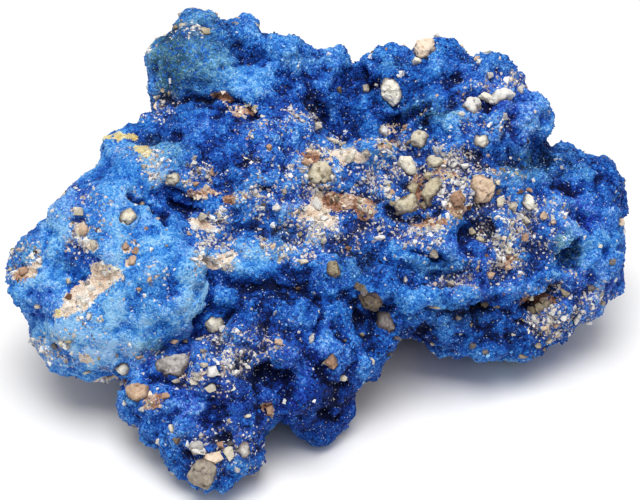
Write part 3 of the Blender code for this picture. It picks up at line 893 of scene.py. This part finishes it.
rockShape = {
    "pebbleShare": 0.93,  # how big the pebbles are that close the sockets
    "voxel": 0.00034,  # metres, grid of the skin before it is thinned
    "smoothSteps": 2,
    "faces": 190000,  # most triangles that the skin keeps
    "rise": 0.00062,  # how far the tops of the lumps stand out, while their seams lie in
    "knobs": (0.0034, 0.00085),  # how wide and how high, in metres
    "lumps": (0.0017, 0.00060),
    "beads": (0.00095, 0.00030),
    "swells": (0.0060, 0.00030),
    "ripples": (0.0012, 0.00016),
    "calm": 0.68,  # how much flatter the rock is where it is powdery
    "calmSteps": 30,
    "crumbs": (0.0006, 0.00014),  # the grains of a crust
    "crustDepth": 0.00030,
    "hug": (0.0007, 0.00025),  # how far around a pebble the rock climbs it, and how high
    "duck": 0.00045,  # how far the rock draws back inside a pebble
    "cavityReach": 0.00030,  # how deep a hollow is when its painted shade is full
    "cavitySteps": ((4, 0.9), (30, 0.35)),  # narrow and wide hollows, and how much each counts
}


def rawRock():
    # the mass with its pebbles, which close the sockets, as one skin
    bm = bmesh.new()
    bm.from_mesh(frame["nodes"]["azurite_mass"].data)
    for name in pebbleNames:
        first = len(bm.verts)
        bm.from_mesh(frame["nodes"][name].data)
        bm.verts.ensure_lookup_table()
        low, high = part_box(name)
        middle = (low + high) / 2
        for vert in bm.verts[first:]:
            vert.co = middle + (vert.co - middle) * rockShape["pebbleShare"]
    mesh = bpy.data.meshes.new("raw rock")
    bm.to_mesh(mesh)
    bm.free()
    return mesh


def clearOf(points, tree, reach):
    # 0 in and at a stone, growing to 1 at that reach from it
    free = np.ones(len(points))
    for index, point in enumerate(points):
        place, facing, _, away = tree.find_nearest(Vector(point), reach)
        if place is not None:
            free[index] = 0 if (Vector(point) - place).dot(facing) < 0 else away / reach
    return free


def reliefOf(points, zones, seen, pebbleTrees):
    # how far each point moves out: lumps within lumps, lower where the rock is powdery
    rugged = 1 - rockShape["calm"] * zones["powder"]
    height = np.full(len(points), rockShape["rise"])
    for seed, key in ((3, "knobs"), (5, "lumps"), (6, "beads")):
        size, high = rockShape[key]
        height -= rugged * high * (1 - lumpField(points, size, seed))
    for seed, key in ((15, "swells"), (16, "ripples")):
        size, high = rockShape[key]
        height += high * cloudField(points, size, 3, seed)
    size, high = rockShape["crumbs"]
    height += zones["crust"] * (high * cloudField(points, size, 2, 17) - rockShape["crustDepth"])
    height += seen * (lined(points, ribs, 93) - lined(points, cracks, 90))
    reach, climb = rockShape["hug"]
    for tree in pebbleTrees:
        free = clearOf(points, tree, reach)
        height = np.where(free > 0, height + climb * (1 - smoothStep(0, 1, free)), -rockShape["duck"])
    return height


def makeRock(pebbleTrees):
    draft = addObject("rock draft", rawRock())
    mesh = reskinned(draft, rockShape["voxel"], rockShape["smoothSteps"])
    points, edges = pointsOf(mesh), edgesOf(mesh)
    normals = averaged(normalsOf(mesh), edges, 3)
    seen = seenShare(points, normals, treeOf(mesh), edges)
    zones = zonesAt(points, seen, seen * lined(points, cracks, 90))
    flattened = averaged(points, edges, rockShape["calmSteps"])
    points += (flattened - points) * (rockShape["calm"] * zones["powder"])[:, None]
    movePoints(mesh, points + normals * reliefOf(points, zones, seen, pebbleTrees)[:, None])
    for layer, names in zoneLayers.items():
        addColours(mesh, layer, np.stack([zones[name] for name in names], 1))

    # thin the skin where it is plain, then mark its hollows
    draft = addObject("thick rock", mesh)
    thin = draft.modifiers.new("thin", "DECIMATE")
    thin.ratio = rockShape["faces"] / (2 * len(mesh.polygons))
    mesh = appliedMesh(draft)
    movePoints(mesh, pointsOf(mesh))
    points, edges, normals = pointsOf(mesh), edgesOf(mesh), normalsOf(mesh)
    zones = {}
    for layer, names in zoneLayers.items():
        zones.update(zip(names, coloursOf(mesh, layer).T))
    # the hollows darken the colours as painted shade, and the ridges, below 0, lighten them
    cavity = np.zeros(len(points))
    for steps, weight in rockShape["cavitySteps"]:
        sunk = ((averaged(points, edges, steps) - points) * normals).sum(1)
        cavity += weight * sunk / rockShape["cavityReach"]
    cavity = np.clip(averaged(cavity, edges, 1), -0.5, 1)
    addColours(mesh, "hollows", cavity[:, None])
    setSmooth(mesh)
    rock = addObject("azurite_rock", mesh, rockMaterial())
    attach(rock, "root")
    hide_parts("azurite_mass")
    return rock, cavity, zones


pebbleShape = {
    "voxel": 0.00013,  # metres
    "smoothSteps": 1,
    "grow": 0.00010,
    "facets": (14, 0.80, 0.96),  # how many flats, and how much of the stone lies within each
    "swell": 1.09,  # how much bigger it is before the flats are cut
    "chips": (0.0011, 0.00032),  # how wide and how deep
    "wear": (0.0010, 0.00012),
    "pits": (0.00035, 0.00004),
    "crackReach": 0.00008,  # how deep a crack is when its painted shade is full
    # painted shade in the pebble's cracks
    "crackShade": 0.35,
    "sharpAngle": 24.0,
    "rimStainAndShadeReach": 0.0007,  # how far from the rock a pebble is stained and painted with shade
    "dust": (0.4, 0.0004),  # how thick the blue dust on it is beside the rock, and how far it reaches
}
# how rough each stone is, then its evenly spaced colours from dark to light
stoneFinishes = {
    "cream_feldspar": (0.7, (64, 54, 48), (134, 123, 114), (188, 177, 160), (226, 218, 197), (248, 244, 232)),
    "peach_feldspar": (0.7, (64, 40, 32), (130, 94, 74), (184, 148, 122), (220, 192, 164), (246, 226, 204)),
    "tan_feldspar": (0.75, (38, 32, 30), (92, 81, 71), (146, 132, 109), (192, 179, 150), (232, 224, 202)),
    "white_quartz": (0.5, (86, 80, 82), (150, 145, 144), (196, 192, 188), (228, 225, 219), (250, 249, 247)),
    "grey_quartz": (0.6, (40, 37, 40), (80, 75, 76), (126, 119, 115), (172, 164, 157), (220, 214, 208)),
}
pebbleTones = {
    "bar_pebble": 0.78,
    "brown_pebble": 0.30,
    "cap_pebble": 0.63,
    "corner_pebble": 0.54,
    "crevice_pebble": 0.74,
    "diamond_pebble": 1.00,
    "foot_pebble": 0.40,
    "heel_pebble": 0.96,
    "kidney_pebble": 0.95,
    "lavender_pebble": 0.90,
    "leg_pebble": 0.61,
    "lobe_foot_pebble": 1.00,
    "lobe_side_pebble": 0.85,
    "orange_pebble": 0.41,
    "pillar_pebble": 0.79,
    "pink_pebble": 0.78,
    "right_pebble": 0.73,
    "rim_pebble": 0.60,
    "round_pebble": 1.00,
    "shelf_pebble": 0.87,
    "slab_pebble": 0.80,
    "slot_pebble": 0.46,
    "step_pebble": 0.83,
    "tall_pebble": 0.85,
    "tan_block_pebble": 0.86,
    "toe_pebble": 0.47,
    "top_pebble": 0.99,
    "upper_pebble": 0.67,
    "wedge_pebble": 0.83,
}
plainTone = 0.6  # of a pebble that isn't in the list


def facetted(points, seed):
    # flats cut on a stone all round
    dice = np.random.default_rng(300 + seed)
    count, low, high = pebbleShape["facets"]
    middle = (points.min(0) + points.max(0)) / 2
    away = (points - middle) * pebbleShape["swell"]
    for _ in range(count):
        way = dice.normal(size=3)
        way /= np.linalg.norm(way)
        reach = away @ way
        limit = reach.max() * dice.uniform(low, high)
        away -= np.outer(np.maximum(reach - limit, 0), way)
    return middle + away


def makePebble(name, skin, materials):
    draft = addObject("pebble draft", frame["nodes"][name].data.copy())
    mesh = reskinned(draft, pebbleShape["voxel"], pebbleShape["smoothSteps"])
    points = facetted(pointsOf(mesh), pebbleNames.index(name))
    movePoints(mesh, points)
    size, depth = pebbleShape["chips"]
    push = pebbleShape["grow"] + depth * chipField(points, size, 23)
    for seed, key in ((21, "wear"), (22, "pits")):
        size, depth = pebbleShape[key]
        push += depth * cloudField(points, size, 2, seed)
    movePoints(mesh, points + normalsOf(mesh) * push[:, None])
    # stained and painted with shade near the rock
    depth = np.array([skin.find_nearest(vert.co)[3] for vert in mesh.vertices])
    rimStainAndShade = 1 - smoothStep(0.0, pebbleShape["rimStainAndShadeReach"], depth)
    thickness, reach = pebbleShape["dust"]
    dust = thickness * (1 - smoothStep(0.0, reach, depth))
    edges = edgesOf(mesh)
    points, normals = pointsOf(mesh), normalsOf(mesh)
    # painted shade in the pebble's cracks
    sunk = ((averaged(points, edges, 8) - points) * normals).sum(1) / pebbleShape["crackReach"]
    tone = pebbleTones.get(name, plainTone) - pebbleShape["crackShade"] * np.clip(sunk, 0, 1)
    addColours(mesh, "grain", np.stack([tone, rimStainAndShade, dust], 1))
    setSmooth(mesh)
    mesh.set_sharp_from_angle(angle=math.radians(pebbleShape["sharpAngle"]))
    piece = addObject(name + "_stone", mesh, materials[slotOf[name]])
    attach(piece, "root")
    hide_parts(name)


def chipShapes(kinds, corners, flatness, seed):
    # small closed stones with flat faces, as (points, triangles) of one size each
    dice = np.random.default_rng(seed)
    shapes = []
    for _ in range(kinds):
        bm = bmesh.new()
        for i in range(corners):
            height = 1 - (2 * i + 1) / corners
            angle = 2.4 * i + dice.uniform(-0.5, 0.5)
            ring = math.sqrt(1 - height**2)
            way = Vector((ring * math.cos(angle), ring * math.sin(angle), height + dice.uniform(-0.2, 0.2)))
            way /= max(abs(part) for part in way) ** 0.6
            bm.verts.new((way.x, way.y, way.z * flatness))
        bmesh.ops.convex_hull(bm, input=bm.verts)
        loose = [vert for vert in bm.verts if not vert.link_faces]
        bmesh.ops.delete(bm, geom=loose, context="VERTS")
        bmesh.ops.triangulate(bm, faces=bm.faces)
        shapes.append(shapeOf(bm))
    return shapes


def shapeOf(bm):
    bmesh.ops.recalc_face_normals(bm, faces=bm.faces)
    bm.verts.index_update()
    points = np.array([vert.co[:] for vert in bm.verts])
    faces = np.array([[vert.index for vert in face.verts] for face in bm.faces])
    bm.free()
    return points, faces


stoneShape = {
    "kinds": 14,
    "corners": 10,
    "cuts": 2,
    "smoothing": 0.02,
    "wear": 0.16,
    "sharpAngle": 32.0,
    "depth": 0.9,  # as a share of the lesser of width and height
    "rise": 0.25,  # how far its middle stands out of the rock, as a share of its half depth
    # how far from the rock a small stone is stained and painted with shade
    "rimStainAndShadeReach": 0.0003,
    "dust": 0.4,
}


def wornShapes(seed):
    # small stones with flat faces that are worn and dented
    shapes = []
    blanks = chipShapes(stoneShape["kinds"], stoneShape["corners"], 1.0, seed)
    for index, (points, faces) in enumerate(blanks):
        mesh = meshFrom("worn stone", points, faces)
        bm = bmesh.new()
        bm.from_mesh(mesh)
        bpy.data.meshes.remove(mesh)
        bmesh.ops.subdivide_edges(bm, edges=bm.edges, cuts=stoneShape["cuts"], use_grid_fill=True)
        soft = stoneShape["smoothing"]
        bmesh.ops.smooth_laplacian_vert(bm, verts=bm.verts, lambda_factor=soft, lambda_border=soft)
        for vert in bm.verts:
            dent = noise.fractal(vert.co * 1.7 + Vector((index * 5, 0, 0)), 1.0, 2.0, 3)
            vert.co *= 1 + stoneShape["wear"] * dent
        bmesh.ops.triangulate(bm, faces=bm.faces)
        shapes.append(shapeOf(bm))
    return shapes


def randomTurns(count, dice):
    # evenly spread rotations, from unit quaternions
    q = dice.normal(size=(count, 4))
    q /= np.linalg.norm(q, axis=1)[:, None]
    w, x, y, z = q.T
    rows = [
        [1 - 2 * (y * y + z * z), 2 * (x * y - z * w), 2 * (x * z + y * w)],
        [2 * (x * y + z * w), 1 - 2 * (x * x + z * z), 2 * (y * z - x * w)],
        [2 * (x * z - y * w), 2 * (y * z + x * w), 1 - 2 * (x * x + y * y)],
    ]
    return np.moveaxis(np.array(rows), -1, 0)


def joinedMesh(name, parts, smooth=False):
    # one mesh of many closed stones, each part its points, faces and three numbers for each point
    points, faces, tones = zip(*parts)
    firsts = np.cumsum([0] + [len(some) for some in points[:-1]])
    allFaces = np.concatenate([some + first for some, first in zip(faces, firsts)])
    mesh = meshFrom(name, aboveFloor(np.concatenate(points)), allFaces, smooth)
    addColours(mesh, "grain", np.concatenate(tones))
    return mesh


def strewn(name, shapes, places, sizes, stretches, tones, dice):
    # one mesh of many chips: tones holds three numbers for each chip
    turns = randomTurns(len(places), dice)
    choice = dice.integers(0, len(shapes), len(places))
    parts = []
    for index, (shape, faces) in enumerate(shapes):
        mine = np.flatnonzero(choice == index)
        local = shape[None] * (sizes[mine, None] * stretches[mine])[:, None, :]
        points = np.einsum("nij,nkj->nki", turns[mine], local) + places[mine, None]
        starts = np.arange(len(mine)) * len(shape)
        allFaces = (faces[None] + starts[:, None, None]).reshape(-1, 3)
        parts.append((points.reshape(-1, 3), allFaces, np.repeat(tones[mine], len(shape), axis=0)))
    return joinedMesh(name, parts)


skinShape = {
    "footHeight": 0.0004,  # metres: below it the rock is a foot, and few grains lie there
    "footShare": 0.05,
    "stoneReach": 0.0005,  # how near a stone grains are fewer
    "stoneShare": 0.01,
}


class Skin:
    # the rock's triangles, for scattering over
    def __init__(self, rock, cavity, zones, stoneTrees):
        mesh = rock.data
        mesh.calc_loop_triangles()
        self.faces = np.empty(len(mesh.loop_triangles) * 3, np.int32)
        mesh.loop_triangles.foreach_get("vertices", self.faces)
        self.faces = self.faces.reshape(-1, 3)
        self.points = pointsOf(mesh)
        self.normals = normalsOf(mesh)
        self.zones = {"cavity": cavity, **zones}
        a, b, c = (self.points[self.faces[:, i]] for i in range(3))
        self.areas = np.linalg.norm(np.cross(b - a, c - a), axis=1) / 2
        self.clear = np.where(self.points[:, 2] < skinShape["footHeight"], skinShape["footShare"], 1.0)
        for tree in stoneTrees:
            free = clearOf(self.points, tree, skinShape["stoneReach"])
            self.clear *= np.maximum(free, skinShape["stoneShare"])

    def scatter(self, count, weights, dice):
        # places spread by area times weight: where, facing and the zones there
        chance = self.areas * (weights * self.clear)[self.faces].mean(1)
        pick = dice.choice(len(self.faces), count, p=chance / chance.sum())
        u, v = dice.random((2, count))
        flip = u + v > 1
        u[flip], v[flip] = 1 - u[flip], 1 - v[flip]
        share = np.stack([1 - u - v, u, v], 1)
        corners = self.faces[pick]

        facing = (self.normals[corners] * share[..., None]).sum(1)
        facing /= np.linalg.norm(facing, axis=1)[:, None]
        places = (self.points[corners] * share[..., None]).sum(1)
        return places, facing, {name: (values[corners] * share).sum(1) for name, values in self.zones.items()}


# small stones too slight for the solids: across, down, width and height in pixels, turn, tone
smallStones = {
    "cream_feldspar": [
        (418, 61, 13, 11, 0, 0.9), (486, 98, 17, 11, 25, 0.9), (520, 91, 8, 12, 0, 0.8),
        (350, 157, 11, 11, 0, 0.7), (333, 141, 12, 6, 15, 0.7), (343, 145, 8, 6, -30, 0.5),
        (317, 127, 12, 10, 0, 0.6), (367, 152, 8, 7, 0, 0.6), (500, 203, 9, 14, 0, 0.7),
        (513, 207, 9, 12, 30, 0.5), (523, 221, 12, 11, 0, 0.6), (434, 253, 9, 10, 0, 0.4),
        (452, 284, 9, 10, 20, 0.4), (79, 212, 12, 9, 0, 0.6), (96, 246, 13, 11, -20, 0.6),
        (157, 97, 8, 6, 0, 0.7), (202, 217, 11, 9, 0, 0.6), (303, 262, 13, 7, 0, 0.7),
        (342, 378, 11, 6, 15, 0.6), (195, 381, 11, 10, 0, 0.8), (247, 416, 10, 5, 0, 0.8),
        (229, 453, 12, 17, 0, 0.7), (210, 387, 13, 11, 0, 0.8), (285, 191, 7, 7, 0, 0.4),
        (366, 90, 9, 10, 0, 0.4), (418, 134, 8, 8, 0, 0.6), (176, 381, 10, 6, 0, 0.7),
        (323, 240, 7, 8, 0, 0.7), (433, 343, 7, 5, 0, 0.5), (173, 428, 7, 11, -35, 0.8),
        (68, 281, 6, 6, 0, 0.6), (38, 306, 8, 6, 0, 0.6), (204, 365, 10, 6, 0, 0.6),
        (458, 318, 7, 6, 30, 0.3), (497, 182, 8, 6, 30, 0.7), (88, 372, 12, 4, -20, 0.7),
    ],
    "white_quartz": [
        (199, 450, 18, 12, 20, 0.8), (223, 330, 9, 10, 0, 0.7), (212, 371, 15, 12, 0, 0.8),
        (312, 338, 6, 12, 15, 0.6), (577, 319, 6, 12, 25, 0.7), (588, 322, 9, 5, 10, 0.9),
        (323, 219, 13, 7, 0, 0.9), (317, 205, 12, 15, 0, 0.8), (405, 280, 5, 9, 0, 0.8),
        (465, 166, 10, 9, 0, 0.8), (454, 166, 8, 9, 30, 0.7), (40, 261, 8, 8, 40, 0.9),
        (90, 316, 6, 8, 0, 0.8), (379, 238, 14, 6, 0, 0.9), (192, 260, 12, 5, 0, 0.8),
        (207, 232, 9, 7, 0, 0.8), (230, 256, 9, 8, 0, 0.7), (277, 208, 9, 7, 20, 0.8),
        (489, 75, 9, 8, 0, 0.5), (404, 168, 8, 10, 0, 0.8), (296, 117, 8, 6, 0, 0.6),
        (303, 122, 7, 5, 0, 0.7), (124, 278, 5, 8, 0, 0.8), (461, 114, 8, 5, 0, 0.8),
        (125, 403, 5, 6, 0, 0.8), (200, 340, 9, 7, 0, 0.5), (256, 356, 7, 4, 0, 0.9),
    ],
    "peach_feldspar": [
        (133, 262, 9, 13, 0, 0.6), (85, 231, 14, 11, 30, 0.7), (544, 215, 10, 9, 0, 0.7),
        (554, 222, 8, 5, 0, 0.7), (523, 237, 12, 9, 0, 0.5), (507, 266, 11, 8, 0, 0.6),
        (489, 275, 11, 8, 0, 0.6), (278, 344, 9, 9, 0, 0.6), (270, 409, 9, 13, 25, 0.5),
        (174, 341, 10, 6, 0, 0.6), (150, 279, 6, 6, 0, 0.7), (140, 289, 8, 4, 0, 0.6),
        (139, 357, 10, 5, 0, 0.7), (478, 59, 8, 7, 0, 0.8), (125, 246, 8, 8, 20, 0.6),
        (528, 190, 10, 5, 20, 0.4), (213, 459, 21, 15, -10, 0.9), (306, 163, 12, 8, 0, 0.5),
        (25, 271, 12, 9, 0, 0.5), (620, 222, 11, 8, 0, 0.9), (166, 396, 9, 7, 0, 0.5),
        (298, 288, 8, 4, 0, 0.3), (212, 172, 6, 8, 0, 0.5), (142, 203, 6, 5, 0, 0.7),
        (196, 184, 8, 5, -30, 0.5), (269, 148, 7, 8, 0, 0.5), (348, 248, 8, 6, 0, 0.3),
    ],
    "tan_feldspar": [
        (206, 32, 11, 8, 0, 0.7), (531, 311, 10, 10, 30, 0.5), (565, 293, 13, 7, 35, 0.6),
        (547, 341, 11, 7, 0, 0.8), (538, 345, 8, 6, 0, 0.7),
        (360, 287, 12, 8, 25, 0.3), (485, 303, 11, 9, 0, 0.3), (497, 307, 8, 4, 0, 0.4),
        (434, 307, 15, 3, 12, 0.7), (170, 93, 5, 7, 0, 0.6), (163, 90, 5, 6, 0, 0.8),
        (177, 27, 8, 6, 0, 0.6), (300, 235, 6, 7, 0, 0.5), (430, 176, 14, 9, 0, 0.8),
        (339, 90, 6, 8, 0, 0.3), (523, 356, 11, 5, 0, 0.5), (602, 303, 8, 5, 0, 0.6),
        (362, 335, 6, 6, 0, 0.5), (345, 340, 5, 5, 0, 0.4), (186, 340, 8, 5, 0, 0.5),
        (413, 187, 10, 19, 5, 0.75), (429, 176, 12, 9, 0, 0.65), (424, 205, 11, 11, 20, 0.6),
        (394, 203, 9, 6, 10, 0.6), (329, 360, 15, 8, -40, 0.75), (341, 378, 11, 7, 5, 0.9),
        (539, 309, 12, 11, 20, 0.6), (473, 232, 8, 9, -30, 0.7), (479, 241, 9, 8, 20, 0.8),
    ],
    "grey_quartz": [
        (396, 337, 12, 6, 20, 0.4), (364, 292, 9, 10, 30, 0.4), (230, 444, 8, 7, 0, 0.3),
        (485, 352, 8, 6, 0, 0.5), (472, 345, 8, 7, 0, 0.4), (204, 352, 8, 6, 0, 0.6),
        (592, 288, 8, 7, 0, 0.5), (612, 262, 8, 8, 0, 0.5), (55, 346, 9, 8, 0, 0.4),
        (159, 367, 14, 7, 8, 0.9), (196, 374, 12, 6, 15, 0.8),
    ],
}


def smallStone(shapes, dice, hit, facing, width, height, turn):
    # its points and faces: it lies where the ray met the rock, turned in the camera's view
    perPixel = (hit - Vector(eye)).dot(Vector(forward)) / pixelsPerSlope
    angle = math.radians(turn)
    right = rightward * math.cos(angle) - upward * math.sin(angle)
    up = rightward * math.sin(angle) + upward * math.cos(angle)
    shape, faces = shapes[dice.integers(len(shapes))]
    sizes = np.array((width, height, stoneShape["depth"] * min(width, height))) * perPixel / 2
    spun = shape @ randomTurns(1, dice)[0].T
    spun /= np.abs(spun).max(0)
    middle = np.array(hit + facing * sizes[2] * stoneShape["rise"])
    return middle + (spun * sizes) @ np.array((right, up, forward)), faces


def makeSmallStones(skin, materials):
    shapes = wornShapes(31)
    dice = np.random.default_rng(32)
    trees = []
    for kind, stones in smallStones.items():
        parts = []
        for px, py, width, height, turn, tone in stones:
            hit, facing, _, _ = skin.ray_cast(Vector(eye), rayThrough(px, py))
            if hit is None:
                continue
            points, faces = smallStone(shapes, dice, hit, facing, width, height, turn)
            # stained and painted with shade near the rock
            depth = np.array([skin.find_nearest(Vector(point))[3] for point in points])
            rimStainAndShade = 1 - smoothStep(0.0, stoneShape["rimStainAndShadeReach"], depth)
            tones = np.stack([np.full(len(points), tone), rimStainAndShade, rimStainAndShade * stoneShape["dust"]], 1)
            parts.append((points, faces, tones))
        print("small stones", kind, len(parts))
        mesh = joinedMesh("small stones", parts, True)
        mesh.set_sharp_from_angle(angle=math.radians(stoneShape["sharpAngle"]))
        trees.append(treeOf(mesh))
        piece = addObject(f"small_stones_{kind}", mesh, materials[kind])
        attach(piece, "root")
    return trees


crystalCrust = {
    "count": 19000,  # in each piece
    "pieces": 3,
    "shapes": (8, 6, 0.9, 5),  # how many, their corners, flatness and seed
    "size": (0.00006, 0.00024),  # metres, half of a crystal
    "fewLarge": 2.4,  # the higher, the more of them are near the least size
    "sink": (-0.8, 0.15),  # how far its middle is from the skin, as a share of its size
    "stretch": (0.65, 1.4),
    "fewer": {"cavity": 0.30, "powder": 0.35, "grit": 0.35},  # where there are fewer, and how much
    "covered": (0.95, 0.03),  # how much a crust keeps them off, and the share that stays
    "bare": (0.0045, 0.45, 0.75),  # size of the patches with few crystals, their share, how few
    "toneSpread": 0.17,
    # painted shade on crystals in hollows, and lighter crystals on ridges
    "hollowShade": 0.30,
    "glintingCrystals": (0.35, 0.05),  # painted glints: how much lighter single crystals are, and their share
    "greenShare": 0.6,
    "violetShare": 0.65,
    "grittyShare": 0.5,
    "strayHues": 0.15,  # share of the crystals that are violet or green wherever they are
}
fineGrit = {
    "count": 14500,
    "shapes": (8, 7, 0.85, 6),
    "size": (0.00007, 0.00050),
    "fewLarge": 3.4,
    "sink": (-0.8, 0.0),
    "stretch": (0.7, 1.4),
    "anywhere": 0.012,
    "gather": 1.6,  # the higher, the more they keep to the middle of a gritty zone
    "onCrust": 0.6,
    "onRust": 0.8,
    "tone": (0.76, 0.32),  # middle and spread
    "mix": {"white_quartz": 0.60, "cream_feldspar": 0.22, "peach_feldspar": 0.12, "tan_feldspar": 0.06},
    "warmKinds": ("peach_feldspar", "tan_feldspar"),  # on rust
    "warmFrom": 0.35,
}


def makeCrystals(skin, material):
    # blue crystals all over, each piece a share of them
    shapes = chipShapes(*crystalCrust["shapes"])
    covered = np.maximum.reduce([skin.zones[name] for name in ("crust", "rust", "ochre")])
    weights = 1.1 - sum(share * skin.zones[name] for name, share in crystalCrust["fewer"].items())
    share, least = crystalCrust["covered"]
    weights *= np.clip(1 - share * covered, least, 1)
    size, share, fewer = crystalCrust["bare"]
    weights *= 1 - fewer * patches(skin.points, size, 18, share)
    for index in range(crystalCrust["pieces"]):
        dice = np.random.default_rng(100 + index)
        places, facing, zones = skin.scatter(crystalCrust["count"], weights, dice)
        count = len(places)
        low, high = crystalCrust["size"]
        sizes = low + (high - low) * dice.random(count) ** crystalCrust["fewLarge"]
        sizes *= 1.1 - 0.5 * zones["powder"]
        places = places + facing * (sizes * dice.uniform(*crystalCrust["sink"], count))[:, None]
        stretches = dice.uniform(*crystalCrust["stretch"], (count, 3))
        tone = zones["tone"] + dice.normal(0, crystalCrust["toneSpread"], count)
        # painted shade in hollows, lighter on ridges
        tone -= crystalCrust["hollowShade"] * np.clip(zones["cavity"], -0.4, 1)
        # painted glints on a few crystals
        lighter, share = crystalCrust["glintingCrystals"]
        tone += lighter * (dice.random(count) < share)
        green = 0.8 * zones["green"] * (dice.random(count) < crystalCrust["greenShare"])
        violet = zones["violet"] * (dice.random(count) < crystalCrust["violetShare"])
        stray = dice.random(count) < crystalCrust["strayHues"] * (1 - zones["powder"])
        green += 0.5 * zones["grit"] * (dice.random(count) < crystalCrust["grittyShare"])
        hue = 0.5 + 0.5 * np.where(stray, dice.uniform(-1, 0.6, count), green - violet)
        gloss = dice.random(count) ** 2 * (1.1 - zones["tone"]) * (1 - 0.6 * zones["powder"])
        tones = np.clip(np.stack([tone, hue, gloss], 1), 0, 1)
        mesh = strewn("crystals", shapes, places, sizes, stretches, tones, dice)
        piece = addObject(f"crystal_crust_{index + 1}", mesh, material)
        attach(piece, "root")


def makeGrit(skin, materials):
    shapes = chipShapes(*fineGrit["shapes"])
    dice = np.random.default_rng(200)
    weights = fineGrit["anywhere"] + skin.zones["grit"] ** fineGrit["gather"]
    weights += fineGrit["onCrust"] * skin.zones["crust"] + fineGrit["onRust"] * skin.zones["rust"]
    weights *= np.clip(1.15 - 1.5 * skin.zones["cavity"], 0.03, 1)
    places, facing, zones = skin.scatter(fineGrit["count"], weights, dice)
    count = len(places)
    low, high = fineGrit["size"]
    sizes = low + (high - low) * dice.random(count) ** fineGrit["fewLarge"]
    places = places + facing * (sizes * dice.uniform(*fineGrit["sink"], count))[:, None]
    stretches = dice.uniform(*fineGrit["stretch"], (count, 3))
    hollow = np.clip(zones["cavity"], 0, 1)
    # grit is painted darker in hollows, as shade, in its tone and its stain
    tone = np.clip(dice.normal(*fineGrit["tone"], count) - 0.3 * hollow, 0, 1)
    tones = np.stack([tone, hollow * 0.4, np.zeros(count)], 1)
    mix = fineGrit["mix"]
    kinds = dice.choice(list(mix), count, p=list(mix.values()))
    warm = zones["rust"] > fineGrit["warmFrom"]
    kinds[warm] = dice.choice(fineGrit["warmKinds"], warm.sum())
    for kind in mix:
        mine = kinds == kind
        args = (places[mine], sizes[mine], stretches[mine], tones[mine], dice)
        piece = addObject(f"grit_{kind}", strewn("grit", shapes, *args), materials[kind])
        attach(piece, "root")


studio = {
    "skyTop": 0.62,
    "skyEdge": 0.02,
    "keySize": 0.32,
    "keyPower": 2.3,
    "keyPlace": (-0.01, -0.08, 0.50),
    "fillSize": 0.30,
    "fillPower": 0.15,
    "fillPlace": (0.14, -0.32, 0.44),
    "floorColour": (0.95, 0.942, 0.93, 1),
    "floorRoughness": 0.9,
    "floorSize": 2,  # metres, half of its side
}


def addLamp(name, place, size, power):
    data = bpy.data.lights.new(name, "AREA")
    data.size = size
    data.energy = power
    lamp = bpy.data.objects.new(name, data)
    lamp.location = place
    lamp.rotation_euler = (Vector(target) - Vector(place)).to_track_quat("-Z", "Y").to_euler()
    bpy.context.scene.collection.objects.link(lamp)


def setStudio():
    world = bpy.data.worlds.new("sky")
    bpy.context.scene.world = world
    world.use_nodes = True
    tree = world.node_tree
    background = tree.nodes["Background"]
    background.inputs[0].default_value = (1, 1, 1, 1)
    way = addNode(tree, "TexCoord").outputs["Generated"]
    height = addNode(tree, "SeparateXYZ", {0: way}).outputs[2]
    span = {0: height, 1: 0.0, 2: 1.0, 3: studio["skyEdge"], 4: studio["skyTop"]}
    tree.links.new(addNode(tree, "MapRange", span).outputs[0], background.inputs[1])
    addLamp("key", studio["keyPlace"], studio["keySize"], studio["keyPower"])
    addLamp("fill", studio["fillPlace"], studio["fillSize"], studio["fillPower"])
    material, _, shader = newMaterial("white floor")
    shader.inputs["Base Color"].default_value = studio["floorColour"]
    shader.inputs["Roughness"].default_value = studio["floorRoughness"]
    bm = bmesh.new()
    bmesh.ops.create_grid(bm, x_segments=1, y_segments=1, size=studio["floorSize"])
    mesh = bpy.data.meshes.new("floor")
    bm.to_mesh(mesh)
    bm.free()
    addObject("floor", mesh, material)
    bpy.context.scene.view_settings.view_transform = "Standard"


setCamera()
setStudio()
print("camera and studio set")
pebbleTrees = [treeOf(frame["nodes"][name].data) for name in pebbleNames]
rock, rockCavity, rockZones = makeRock(pebbleTrees)
print("rock", len(rock.data.polygons), "faces")
stoneMaterials = {name: stoneMaterial(name, *finish) for name, finish in stoneFinishes.items()}
rockTree = treeOf(rock.data)
for pebbleName in pebbleNames:
    makePebble(pebbleName, rockTree, stoneMaterials)
print("pebbles", len(pebbleNames))
stoneTrees = pebbleTrees + makeSmallStones(rockTree, stoneMaterials)
rockSkin = Skin(rock, rockCavity, rockZones, stoneTrees)
makeCrystals(rockSkin, crystalMaterial())
print("crystals strewn")
makeGrit(rockSkin, stoneMaterials)
print("grit strewn")
